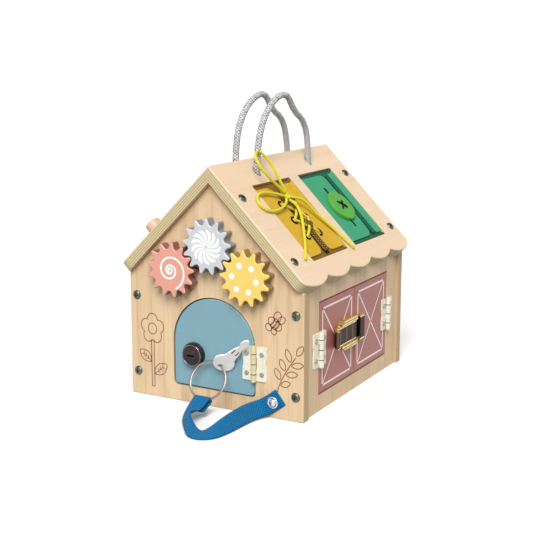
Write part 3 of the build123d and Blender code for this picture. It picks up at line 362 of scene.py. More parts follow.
class Wiring:
    """Adds nodes to a tree and links them by socket name."""

    def __init__(self, tree):
        self.tree = tree

    def add(self, kind, settings=None, **sockets):
        node = self.tree.nodes.new(kind)
        for key, value in (settings or {}).items():
            setattr(node, key, value)
        for key, value in sockets.items():
            self.feed(node, key.replace("_", " "), value)
        return node

    def feed(self, node, socket, value):
        """Sets or links a socket, given by its name or as i and its index."""
        numbered = socket[0] == "i" and socket[1:].isdigit()
        target = node.inputs[int(socket[1:])] if numbered else node.inputs[socket]
        if isinstance(value, bpy.types.Node):
            value = value.outputs[0]
        if isinstance(value, bpy.types.NodeSocket):
            self.tree.links.new(value, target)
        else:
            target.default_value = value

    def math(self, operation, first, second=0.5, third=0.5):
        return self.add("ShaderNodeMath", {"operation": operation}, i0=first, i1=second, i2=third).outputs[0]

    def total(self, *parts):
        """Sum of values, each times its weight."""
        amount = 0.0
        for value, weight in parts:
            amount = self.math("MULTIPLY_ADD", value, weight, amount)
        return amount

    def away(self, value, middle=0.0):
        """How far a value is from a middle."""
        return self.math("ABSOLUTE", self.math("SUBTRACT", value, middle))

    def vector(self, operation, first, second=(0.0, 0.0, 0.0)):
        return self.add("ShaderNodeVectorMath", {"operation": operation}, i0=first, i1=second).outputs

    def part(self, vector, axis):
        return self.add("ShaderNodeSeparateXYZ", Vector=vector).outputs[axis]

    def stretch(self, place, scale):
        return self.add("ShaderNodeMapping", Vector=place, Scale=scale).outputs[0]

    def noise(self, place, scale, detail=2.0, roughness=0.5, distortion=0.0):
        sockets = {"Scale": scale, "Detail": detail, "Roughness": roughness, "Distortion": distortion}
        return self.add("ShaderNodeTexNoise", Vector=place, **sockets).outputs[0]

    def ramp(self, factor, low, high):
        smooth = {"interpolation_type": "SMOOTHSTEP"}
        return self.add("ShaderNodeMapRange", smooth, Value=factor, From_Min=low, From_Max=high).outputs[0]

    def mix(self, factor, first, second):
        return self.add("ShaderNodeMix", {"data_type": "RGBA"}, i0=factor, i6=first, i7=second).outputs[2]

    def toned(self, paint, change, middle, variation):
        """A colour made lighter or darker as a pattern leaves its middle."""
        level = self.math("MULTIPLY_ADD", self.math("SUBTRACT", change, middle), variation, 1.0)
        return self.add("ShaderNodeHueSaturation", Color=paint, Value=level).outputs[0]


def rgba(value):
    return (*value, 1.0)


# Shader groups that several finishes share
GREY = (0.5, 0.5, 0.5, 1.0)


def new_group(name, outputs, **inputs):
    """An empty shader group; an input is a number, a colour if it is grey, or else a vector."""
    group = bpy.data.node_groups.new(name, "ShaderNodeTree")
    for key, default in inputs.items():
        kind = "Float" if isinstance(default, float) else "Color" if default == GREY else "Vector"
        socket = group.interface.new_socket(key, in_out="INPUT", socket_type="NodeSocket" + kind)
        if default is not None:
            socket.default_value = default
    for key in outputs:
        kind = key if key in ("Color", "Vector") else "Float"
        group.interface.new_socket(key, in_out="OUTPUT", socket_type="NodeSocket" + kind)
    w = Wiring(group)
    given = w.add("NodeGroupInput").outputs
    result = w.add("NodeGroupOutput")

    def give(**values):
        for key, value in values.items():
            w.feed(result, key, value)

    return w, given, give


def sawn_wood_group(name):
    """Streaked grain along X with pores and slow tone changes."""
    outputs = ("Color", "Height", "Roughness")
    w, given, give = new_group(name, outputs, Place=None, Face=GREY, Streak=GREY, Strength=0.5)
    place = given["Place"]
    streak = w.noise(w.stretch(place, (14.0, 260.0, 260.0)), 1.0, 5.0, 0.6, 0.5)
    tone = w.noise(w.stretch(place, (5.0, 42.0, 42.0)), 1.0, 2.0, 0.5, 0.9)
    pore = w.noise(w.stretch(place, (120.0, 2600.0, 2600.0)), 1.0, 2.0, 0.7)
    pores = w.ramp(pore, 0.62, 0.8)
    grain = w.total((w.ramp(streak, 0.42, 0.78), 0.55), (w.ramp(tone, 0.32, 0.72), 0.45), (pores, 0.18))
    give(
        Color=w.mix(w.math("MULTIPLY", grain, given["Strength"]), given["Face"], given["Streak"]),
        Height=w.total((streak, 0.5), (pores, -1.0)),
        Roughness=w.math("MULTIPLY_ADD", pore, 0.25, 0.36),
    )


def ply_edge_group(name):
    """Layers across a board's thickness, shown where the surface turns away from its face."""
    outputs = ("Color", "Mask", "Height")
    w, given, give = new_group(name, outputs, Place=None, Normal=None, Light=GREY, Dark=GREY)
    place = given["Place"]
    depth = w.total((w.part(place, 2), 500.0), (w.noise(place, 60.0), 0.16))
    line = w.ramp(w.away(w.math("FRACT", depth), 0.5), 0.36, 0.48)
    shade = w.math("ADD", w.total((w.noise(place, 900.0, 3.0, 0.7), 0.35), (line, 0.85)), 0.25)
    give(
        Color=w.mix(shade, given["Light"], given["Dark"]),
        Mask=w.math("LESS_THAN", w.away(w.part(given["Normal"], 2)), 0.6),
        Height=w.math("MULTIPLY", line, -1.0),
    )


def brushed_paint_group(name):
    """Paint over wood: faint grain showing through, small tone changes and pinholes."""
    outputs = ("Color", "Height", "Roughness")
    w, given, give = new_group(
        name, outputs, Place=None, Paint=GREY, Grain=(14.0, 260.0, 260.0), Variation=0.12
    )
    place = given["Place"]
    grain = w.noise(w.stretch(place, given["Grain"]), 1.0, 4.0, 0.6)
    speck = w.noise(place, 1400.0)
    change = w.total((grain, 0.7), (w.noise(place, 35.0, 3.0), 0.5))
    give(
        Color=w.toned(given["Paint"], change, 0.6, given["Variation"]),
        Height=w.total((grain, 1.0), (speck, 0.4)),
        Roughness=w.math("MULTIPLY_ADD", speck, 0.3, 0.28),
    )


def felt_group(name):
    """Matted fibres: soft clouds, short hairs and small nubs."""
    w, given, give = new_group(name, ("Color", "Height"), Place=None, Cloth=GREY, Variation=0.3)
    place = given["Place"]
    hair = w.noise(place, 1100.0, 5.0, 0.75, 2.5)
    nub = w.add("ShaderNodeTexVoronoi", Vector=place, Scale=620.0).outputs[0]
    change = w.total((w.noise(place, 90.0, 3.0), 0.6), (hair, 0.9))
    give(
        Color=w.toned(given["Cloth"], change, 0.75, given["Variation"]),
        Height=w.total((hair, 1.0), (nub, -0.5)),
    )


def yarn_weave_group(name):
    """Crossing yarns on a surface whose UV map counts millimetres, for webbing, lace and rope."""
    w, given, give = new_group(
        name, ("Color", "Height"), Cloth=GREY, Pitch=1.0, Slant=1.0, Variation=0.25, Fleck=5.0
    )
    place = w.add("ShaderNodeTexCoord").outputs["UV"]
    frequency = w.math("DIVIDE", 2 * math.pi, given["Pitch"])
    lean = w.math("MULTIPLY", w.part(place, 1), given["Slant"])
    yarns = []
    for direction in ("ADD", "SUBTRACT"):
        slanted = w.math(direction, w.part(place, 0), lean)
        yarns.append(w.math("SINE", w.math("MULTIPLY", slanted, frequency)))
    crossing = w.math("MAXIMUM", *yarns)
    fuzz = w.noise(place, given["Fleck"], 4.0, 0.7)
    change = w.total((crossing, 0.4), (fuzz, 1.0), (w.noise(place, 0.25), 0.5))
    give(
        Color=w.toned(given["Cloth"], change, 0.95, given["Variation"]),
        Height=w.total((crossing, 1.0), (fuzz, 0.7)),
    )


def worn_metal_group(name):
    """Fine scratches and smudges, with dark deposits in patches."""
    outputs = ("Color", "Height", "Roughness")
    w, given, give = new_group(name, outputs, Place=None, Metal=GREY, Deposit=GREY, Dirt=0.2, Polish=0.2)
    smudge = w.noise(given["Place"], 180.0, 4.0, 0.65)
    soiled = w.math("MULTIPLY", w.ramp(smudge, 0.45, 0.7), given["Dirt"])
    give(
        Color=w.mix(soiled, given["Metal"], given["Deposit"]),
        Height=w.noise(w.stretch(given["Place"], (3200.0, 260.0, 260.0)), 1.0, 3.0),
        Roughness=w.math("MULTIPLY_ADD", smudge, 0.22, given["Polish"]),
    )


def board_axes_group(name):
    """Turns a direction or place so that X runs along a board's grain and Z through its thickness."""
    axes = {"Grain": (1.0, 0.0, 0.0), "Across": (0.0, 1.0, 0.0), "Face": (0.0, 0.0, 1.0)}
    w, given, give = new_group(name, ("Vector",), Vector=None, **axes)
    turned = w.add("ShaderNodeCombineXYZ")
    for index, key in enumerate(axes):
        w.feed(turned, f"i{index}", w.vector("DOT_PRODUCT", given["Vector"], given[key])["Value"])
    give(Vector=turned)


GROUP_MAKERS = {
    "Board Axes": board_axes_group,
    "Sawn Wood": sawn_wood_group,
    "Ply Edge": ply_edge_group,
    "Brushed Paint": brushed_paint_group,
    "Matted Felt": felt_group,
    "Yarn Weave": yarn_weave_group,
    "Worn Metal": worn_metal_group,
}


class Finish(Wiring):
    """The wiring of a new material round its Principled shader."""

    def __init__(self, name, **sockets):
        self.material = bpy.data.materials.new(name)
        self.material.use_nodes = True
        super().__init__(self.material.node_tree)
        self.shader = self.tree.nodes["Principled BSDF"]
        for key, value in sockets.items():
            self.feed(self.shader, key.replace("_", " "), value)
        coords = self.add("ShaderNodeTexCoord").outputs
        self.place, self.normal = coords["Object"], coords["Normal"]

    def group(self, name, **sockets):
        """The outputs of a shared group, which is made the first time it is asked for."""
        if name not in bpy.data.node_groups:
            GROUP_MAKERS[name](name)
        return self.add("ShaderNodeGroup", {"node_tree": bpy.data.node_groups[name]}, **sockets).outputs

    def coat(self, paint, roughness=None, height=None, strength=0.0, distance=0.0):
        """Ends the wiring with a colour, a roughness and a relief, and gives the material."""
        self.feed(self.shader, "Base Color", paint)
        if roughness is not None:
            self.feed(self.shader, "Roughness", roughness)
        if height is not None:
            relief = self.add("ShaderNodeBump", Height=height, Strength=strength, Distance=distance)
            self.feed(self.shader, "Normal", relief)
        return self.material


def board_finish(name, face, streak, edges, grain, outward, strength):
    """Bare board whose grain runs along one direction and whose face looks along another."""
    w = Finish(name, Specular_IOR_Level=0.35, Coat_Weight=0.06)
    axes = {"Grain": grain, "Across": Vector(outward).cross(Vector(grain)), "Face": outward}
    place, normal = [w.group("Board Axes", Vector=given, **axes)[0] for given in (w.place, w.normal)]
    wood = w.group("Sawn Wood", Place=place, Face=rgba(face), Streak=rgba(streak), Strength=strength)
    edge = w.group("Ply Edge", Place=place, Normal=normal, Light=rgba(edges[0]), Dark=rgba(edges[1]))
    paint = w.mix(edge["Mask"], wood["Color"], edge["Color"])
    roughness = w.math("MULTIPLY_ADD", edge["Mask"], 0.2, wood["Roughness"])
    height = w.math("MULTIPLY_ADD", edge["Mask"], edge["Height"], wood["Height"])
    return w.coat(paint, roughness, height, 0.22, 0.0002)


def paint_finish(name, paint, variation=0.14, side=None, grain=(260.0, 260.0, 14.0)):
    """Satin paint on wood; the surfaces that turn away from the gable may take a darker colour, as painted shade."""
    w = Finish(name, Specular_IOR_Level=0.4, Coat_Weight=0.12, Coat_Roughness=0.35)
    coat = rgba(paint)
    if side is not None:
        # Painted shade: where the normal turns away from the gable's axis, the side colour replaces the paint.
        coat = w.mix(w.math("LESS_THAN", w.away(w.part(w.normal, 1)), 0.7), coat, rgba(side))
    layer = w.group("Brushed Paint", Place=w.place, Paint=coat, Grain=grain, Variation=variation)
    return w.coat(layer["Color"], layer["Roughness"], layer["Height"], 0.12, 0.0002)


def metal_finish(name, metal, deposit, dirt=0.2, polish=0.15, metallic=1.0, scratches=0.06):
    """Plated or cast metal with smudges."""
    w = Finish(name, Metallic=metallic)
    tones = {"Metal": rgba(metal), "Deposit": rgba(deposit)}
    layer = w.group("Worn Metal", Place=w.place, Dirt=dirt, Polish=polish, **tones)
    return w.coat(layer["Color"], layer["Roughness"], layer["Height"], scratches, 0.0001)


def lacquer_reflection_finish(name, low, high, floor, top):
    """Black lacquer whose colour turns from one tone above the foot to another at the head, as a painted reflection.
    """
    w = Finish(name, Roughness=0.2, Specular_IOR_Level=0.1, Coat_Weight=0.6, Coat_Roughness=0.04)
    height = w.total((w.part(w.place, 2), 1.0), (w.noise(w.place, 240.0), 8.0 * MM))
    # Painted reflection: the colour fades from the lower tone to the upper tone with height.
    return w.coat(w.mix(w.ramp(height, floor + 9.0 * MM, top), rgba(low), rgba(high)))


def hinge_finish(name, pin, metal, brass, brassy):
    """Enamelled leaves with a brassy barrel and near-black lines painted across it as the shade of gaps between its
    knuckles.
    """
    barrel_radius, knuckle_end, half_shade_width = 2.75 * MM, 9.2 * MM, 0.4 * MM
    w = Finish(name, Specular_IOR_Level=0.5)
    tones = {"Metal": rgba(metal), "Deposit": (0.42, 0.38, 0.28, 1.0)}
    layer = w.group("Worn Metal", Place=w.place, Dirt=0.3, Polish=0.3, **tones)
    offset = w.vector("SUBTRACT", w.place, box_middle(pin))[0]
    level = w.vector("MULTIPLY", offset, (1.0, 1.0, 0.0))[0]
    barrel = w.math("LESS_THAN", w.vector("LENGTH", level)["Value"], barrel_radius)
    height = w.away(w.part(offset, 2))
    # Painted shade: near-black lines across the barrel, at its middle and 9.2 mm either side, stand in for shade in
    # knuckle gaps.
    gap_shade = w.math("LESS_THAN", w.math("MINIMUM", height, w.away(height, knuckle_end)), half_shade_width)
    tinted = w.mix(w.math("MULTIPLY", barrel, brassy), layer["Color"], rgba(brass))
    paint = w.mix(w.math("MULTIPLY", barrel, gap_shade), tinted, (0.05, 0.035, 0.015, 1.0))
    return w.coat(paint, layer["Roughness"], layer["Height"], 0.06, 0.0001)


def latch_finish(name, metals, middle, bare, pitch=2.35 * MM, rungs=None):
    """Cast brass with grooved bars about a middle band of dark bronze that may have pale lines across it, which are
    painted highlights.
    """
    brass, bronze, rung_highlight = [rgba(metal) for metal in metals]
    w = Finish(name, Metallic=0.8)
    layer = w.group("Worn Metal", Place=w.place, Metal=brass, Deposit=bronze, Dirt=0.35, Polish=0.14)
    away = w.away(w.part(w.place, 2), middle)
    phase = w.away(w.math("FRACT", w.math("DIVIDE", away, pitch)), 0.5)
    upright = w.math("LESS_THAN", w.away(w.part(w.normal, 2)), 0.6)
    groove = w.math("MULTIPLY", w.ramp(phase, 0.32, 0.42), upright)
    bars = w.mix(groove, layer["Color"], bronze)
    band = bronze
    # Painted highlight: pale rung lines, broken by noise, across the bolt's dark band.
    if rungs:
        start, step = rungs
        lane = w.math("FRACT", w.math("DIVIDE", w.math("SUBTRACT", w.part(w.place, 1), start), step))
        line = w.ramp(w.away(lane, 0.5), 0.45, 0.475)
        band = w.mix(w.math("MULTIPLY", line, w.noise(w.place, 400.0, 3.0)), band, rung_highlight)
    inside = w.math("LESS_THAN", away, bare)
    roughness = w.math("MAXIMUM", layer["Roughness"], w.math("MULTIPLY", inside, 0.5))
    relief = w.total((layer["Height"], 1.0), (groove, -6.0))
    outside = w.math("SUBTRACT", 1.0, inside)
    return w.coat(w.mix(inside, bars, band), roughness, w.math("MULTIPLY", relief, outside), 0.4, 0.0002)


def felt_finish(name, cloth, variation=0.32):
    """Felt with a soft sheen."""
    w = Finish(name, Roughness=0.95, Specular_IOR_Level=0.1, Sheen_Weight=0.12, Sheen_Roughness=0.5)
    layer = w.group("Matted Felt", Place=w.place, Cloth=rgba(cloth), Variation=variation)
    return w.coat(layer["Color"], None, layer["Height"], 0.5, 0.0004)


def yarn_finish(name, cloth, pitch, slant, variation=0.25, relief=0.0003, fleck=5.0):
    """Woven or braided yarn."""
    w = Finish(name, Roughness=0.85, Specular_IOR_Level=0.2, Sheen_Weight=0.08, Sheen_Roughness=0.4)
    weave = {"Pitch": pitch, "Slant": slant, "Variation": variation, "Fleck": fleck}
    layer = w.group("Yarn Weave", Cloth=rgba(cloth), **weave)
    return w.coat(layer["Color"], None, layer["Height"], 0.6, relief)


def dress(material, *names):
    """Gives CAD nodes a finish."""
    for name in names:
        for place in NODES[name].material_slots:
            place.material = material


# Mesh makers
def mesh_from(name, build, smooth=True, facing=None):
    """A mesh filled by a function that is given an empty bmesh; an open sheet is turned to face a way."""
    shape = bmesh.new()
    build(shape)
    bmesh.ops.recalc_face_normals(shape, faces=shape.faces)
    mesh = bpy.data.meshes.new(name)
    shape.to_mesh(mesh)
    shape.free()
    for face in mesh.polygons:
        face.use_smooth = smooth
    if facing and mesh.polygons[0].normal.dot(facing) < 0:
        mesh.flip_normals()
    return mesh


def new_piece(name, build, material, body, slot, node=None, smooth=True, facing=None):
    """Puts a new mesh in the scene, on a body if one is given and in place of a CAD node if one is named."""
    mesh = mesh_from(name, build, smooth, facing)
    piece = bpy.data.objects.new(name, mesh)
    bpy.context.scene.collection.objects.link(piece)
    mesh.materials.append(material)
    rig.slot(piece, slot)
    if body:
        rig.ride(piece, body)
    if node:
        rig.replaces(piece, node)
    return piece


def skin(shape, rows, wrap=True, ends=False, uv=None):
    """Faces between rows of vertices; uv is a layer and a function that maps a row and a column."""
    count = len(rows[0])
    for index, (before, after) in enumerate(zip(rows, rows[1:])):
        for step in range(count if wrap else count - 1):
            other = (step + 1) % count
            face = shape.faces.new((before[step], before[other], after[other], after[step]))
            if uv:
                layer, place = uv
                spots = ((index, step), (index, step + 1), (index + 1, step + 1), (index + 1, step))
                for loop, spot in zip(face.loops, spots):
                    loop[layer].uv = place(*spot)
    if ends:
        shape.faces.new(list(reversed(rows[0])))
        shape.faces.new(rows[-1])


def grid(shape, rows, columns, place):
    """An open net whose points are given by row and column."""
    net = []
    for row in range(rows + 1):
        net.append([shape.verts.new(place(row, column)) for column in range(columns + 1)])
    skin(shape, net, wrap=False)


def lathe(shape, place, profile, ring=False, steps=48):
    """Skin turned about Y from radius and forward distance in millimetres, as a ring or with ends."""
    rows = []
    for radius, out in profile:
        middle = place - Vector((0.0, out * MM, 0.0))
        turns = [2 * math.pi * step / steps for step in range(steps)]
        rows.append([shape.verts.new(middle + on_circle(turn, radius * MM)) for turn in turns])
    skin(shape, rows + rows[:1] if ring else rows, ends=not ring)


def route_line(points, steps=14):
    """Points read from the NURBS spline that a cord's route controls."""
    curve = bpy.data.curves.new("route", "CURVE")
    curve.dimensions = "3D"
    spline = curve.splines.new("NURBS")
    spline.points.add(len(points) - 1)
    for control, point in zip(spline.points, points):
        control.co = (*point, 1.0)
    spline.order_u = 3
    spline.use_endpoint_u = True
    spline.resolution_u = steps
    carrier = bpy.data.objects.new("route", curve)
    line = bpy.data.meshes.new_from_object(carrier)
    places = [vertex.co.copy() for vertex in line.vertices]
    bpy.data.objects.remove(carrier)
    bpy.data.curves.remove(curve)
    bpy.data.meshes.remove(line)
    return places


def along(line):
    """Distance of each point along a line."""
    travelled = [0.0]
    for before, after in zip(line, line[1:]):
        travelled.append(travelled[-1] + (after - before).length)
    return travelled


def headings(line):
    """Step from the point before to the point after, at each point of a line."""
    last = len(line) - 1
    return [line[min(index + 1, last)] - line[max(index - 1, 0)] for index in range(last + 1)]


def cross_frames(line):
    """Two directions across the line at each point, carried along without twist."""
    frames = []
    side = None
    for heading in headings(line):
        heading = heading.normalized()
        if side is None:
            side = heading.orthogonal().normalized()
        side = (side - heading * side.dot(heading)).normalized()
        frames.append((side, heading.cross(side)))
    return frames


def sweep_tube(shape, line, radius, sides, relief=None):
    """A tube along a line; its UV map counts millimetres along and round it."""
    layer = shape.loops.layers.uv.verify()
    travelled = along(line)
    rings = []
    for place, (side, up), distance in zip(line, cross_frames(line), travelled):
        ring = []
        for step in range(sides):
            turn = 2 * math.pi * step / sides
            reach = radius + (relief(distance, turn) if relief else 0.0)
            spot = place + side * (math.cos(turn) * reach) + up * (math.sin(turn) * reach)
            ring.append(shape.verts.new(spot))
        rings.append(ring)

    def unrolled(row, column):
        return travelled[row] / MM, 2 * math.pi * radius / MM * column / sides

    skin(shape, rings, ends=True, uv=(layer, unrolled))


def braid_relief(radius, carriers, depth):
    """Height of a round braid: two sets of helical yarns passing over each other."""
    rate = carriers / radius * 0.75

    def height(distance, turn):
        left = math.cos(carriers * turn + rate * distance)
        right = math.cos(carriers * turn - rate * distance)
        return depth * max(left, right)

    return height


def strip(shape, line, width, outward=OUT_OF_GABLE, close=False):
    """A flat strip along a line, of a width, facing a direction."""
    count = len(line)
    pairs = []
    for index, place in enumerate(line):
        before = line[(index - 1) % count] if close else line[max(index - 1, 0)]
        after = line[(index + 1) % count] if close else line[min(index + 1, count - 1)]
        side = (after - before).normalized().cross(outward) * (width / 2)
        pairs.append((shape.verts.new(place - side), shape.verts.new(place + side)))
    following = pairs[1:] + pairs[:1] if close else pairs[1:]
    for (left, right), (next_left, next_right) in zip(pairs, following):
        face = shape.faces.new((left, right, next_right, next_left))
        if face.normal.dot(outward) < 0:
            face.normal_flip()


class HousePiece:
    """What the operators share."""

    bl_options = {"REGISTER", "UNDO"}


class DressWood(HousePiece, bpy.types.Operator):
    """Bare boards with grain and ply edges"""

    bl_idname = "busy_house.dress_wood"
    bl_label = "Bare Wood"

    def execute(self, context):
        wood = context.scene.busy_house_wood
        ply = (wood.ply_light, wood.ply_dark)
        plain = (wood.edge, wood.grain)
        # Painted shade: the back panel's wood and edges take the darker back colour, as shade on the rear gable.
        back, knob = (wood.back, wood.grain), (wood.knob, wood.grain)
        upright, ridge, rightward = (0.0, 0.0, 1.0), (0.0, 1.0, 0.0), (1.0, 0.0, 0.0)
        left_normal = (-ROOF_NORMAL.x, 0.0, ROOF_NORMAL.z)
        turned = "wood_knob wood_peg grey_peg pink_axle grey_axle yellow_axle"
        for name, face, edges, grain, outward, strength, nodes in (
            ("gable_wood", wood.wall, plain, upright, OUT_OF_GABLE, 1.0, "front_panel front_door_stop"),
            ("shaded_back_wood", wood.back, back, upright, OUT_OF_GABLE, 1.0, "back_panel"),
            ("wall_wood", wood.wall, plain, upright, rightward, 0.85, "left_wall right_wall side_door_stop"),
            ("floor_wood", wood.wall, plain, ridge, upright, 0.55, "floor_panel"),
            ("right_roof_wood", wood.roof, ply, ridge, ROOF_NORMAL, 0.32, "right_roof_board"),
            ("left_roof_wood", wood.roof, ply, ridge, left_normal, 0.32, "left_roof_board"),
            ("knob_wood", wood.knob, knob, left_normal, ridge, 0.4, turned),
        ):
            dress(board_finish(name, face, wood.grain, edges, grain, outward, strength), *nodes.split())
        return {"FINISHED"}


class DressPaint(HousePiece, bpy.types.Operator):
    """Painted doors, gears and knob"""

    bl_idname = "busy_house.dress_paint"
    bl_label = "Painted Wood"

    def execute(self, context):
        wood = context.scene.busy_house_wood
        dress(paint_finish("blue_door_paint", wood.door_blue), "front_door")
        dress(paint_finish("barn_red_print", wood.barn_red, 0.2), "side_door_front", "side_door_rear")
        for gear in ("pink", "grey", "yellow"):
            # Painted shade: each gear's sides take a darker colour.
            face, side = getattr(wood, "gear_" + gear), getattr(wood, gear + "_side")
            dress(paint_finish(gear + "_gear_paint", face, side=side), gear + "_gear")
        dress(paint_finish("grey_knob_paint", wood.gear_grey), "grey_knob")
        return {"FINISHED"}


class DressMetal(HousePiece, bpy.types.Operator):
    """Hinges, screws, latch, key, and the lock with its polished bevel"""

    bl_idname = "busy_house.dress_metal"
    bl_label = "Metalwork"

    BEVEL_RADIUS = 9.475
    BEVEL_OUT = 5.4
    BEVEL_SECTION = 0.42
    RUNG_STEP = 13.0

    def bevel(self, shape):
        x, _, z = box_middle("lock_housing")
        profile = []
        for degrees in range(0, 360, 36):
            step = on_circle(math.radians(degrees), self.BEVEL_SECTION)
            profile.append((self.BEVEL_RADIUS + step.x, self.BEVEL_OUT + step.z))
        lathe(shape, Vector((x, FRONT_Y, z)), profile, ring=True)

    def execute(self, context):
        metal = context.scene.busy_house_metal
        small_screws = [name for name in NODES if "hinge" in name and "screws" in name]
        for pin in [name for name in NODES if name.endswith("hinge_pin")]:
            leaves = [name for name in NODES if name.startswith(pin[:-3]) and "screws" not in name]
            brassy = 0.7 if pin.startswith("front") else 0.12
            dress(hinge_finish(pin[:-4] + "_enamel", pin, metal.enamel, metal.barrel, brassy), *leaves)
        dress(metal_finish("bright_plate", metal.bright, SCREW_GREY, 0.15, 0.12), "lock_nut", "lock_cam")
        dress(metal_finish("hinge_screw_zinc", metal.screw, SCREW_GREY, 0.4, 0.25), *small_screws)
        dress(metal_finish("key_steel", metal.steel, (0.8, 0.77, 0.74), 0.2, 0.22, metallic=0.08), "key")
        dress(metal_finish("dark_zinc", metal.zinc, (0.03, 0.03, 0.025), 0.6, 0.3), "house_screws")
        low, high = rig.box("lock_housing")
        # Painted reflection: the lock's black is bluish below and brownish above.
        lacquer = lacquer_reflection_finish("lock_black", metal.lock_low_reflection, metal.lock_top_reflection, low[2], high[2])
        dress(lacquer, "lock_housing", "lock_plug")
        line = metal_finish("bevel_steel", metal.lock_line, (0.2, 0.18, 0.19), 0.3, 0.12, scratches=0.0)
        new_piece("lock_bevel", self.bevel, line, "front_door", "dark_chrome")
        middle = box_middle("latch_case")[2]
        metals = (metal.brass, metal.patina_and_groove_shade, metal.bolt_highlight)
        rungs = (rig.box("latch_bolt")[0][1], self.RUNG_STEP * MM)
        dress(latch_finish("latch_brass", metals, middle, 0.0), "latch_case")
        # Painted highlight: the bolt gets pale rung lines across its dark band.
        dress(latch_finish("latch_bronze", metals, middle, 7.0 * MM, 1.8 * MM, rungs), "latch_bolt")
        dress(latch_finish("keeper_bronze", metals, middle, 10.0 * MM), "latch_keeper")
        return {"FINISHED"}


class PrintGears(HousePiece, bpy.types.Operator):
    """White spiral, swirl and dots on the gears"""

    bl_idname = "busy_house.print_gears"
    bl_label = "Gear Artwork"

    BLADES = 13
    DOTS = 6

    def centre(self, name):
        """The middle of a gear's face, just clear of its paint."""
        x, _, z = box_middle(name)
        return Vector((x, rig.box("grey_gear")[0][1] - 0.06 * MM, z))

    def spiral(self, shape):
        centre = self.centre("pink_axle")
        line = []
        for step in range(160):
            degrees = -620.0 + 1050.0 * step / 159
            reach = 5.9 * MM * math.exp(0.00252 * degrees)
            line.append(centre + on_circle(math.radians(-degrees), reach))
        strip(shape, line, 1.8 * MM)

    def swirl(self, shape):
        centre = self.centre("grey_axle")
        for blade in range(self.BLADES):
            middle = math.radians(90.0 + 360.0 / self.BLADES * blade)
            rows = []
            for step in range(15):
                share = step / 14
                reach = (1.4 + 14.2 * share) * MM
                lean = middle + 0.75 * share * share - 0.3 * share
                round_off = math.sqrt(max(0.0, 1.0 - max(0.0, (share - 0.8) / 0.2) ** 2))
                spread = math.pi / self.BLADES * 0.72 * round_off
                ends = [centre + on_circle(lean + side * spread, reach) for side in (-1, 1)]
                rows.append([shape.verts.new(end) for end in ends])
            skin(shape, rows, wrap=False)
        bmesh.ops.remove_doubles(shape, verts=shape.verts, dist=0.01 * MM)

    def dots(self, shape):
        centre = self.centre("yellow_axle")
        for spot in range(self.DOTS):
            turn = math.radians(52.5 + 360.0 / self.DOTS * spot)
            place = centre + on_circle(turn, 12.0 * MM)
            lay = Matrix.Translation(place) @ Matrix.Rotation(math.radians(90), 4, "X")
            bmesh.ops.create_circle(shape, cap_ends=True, segments=28, radius=2.75 * MM, matrix=lay)

    def execute(self, context):
        white = paint_finish("white_print", context.scene.busy_house_wood.artwork, 0.05)
        for name, build, body, slot in (
            ("pink_spiral", self.spiral, "pink_wheel", "pink_paint"),
            ("grey_swirl", self.swirl, "grey_wheel", "grey_paint"),
            ("yellow_dots", self.dots, "yellow_wheel", "yellow_paint"),
        ):
            new_piece(name, build, white, body, slot, smooth=False)
        return {"FINISHED"}


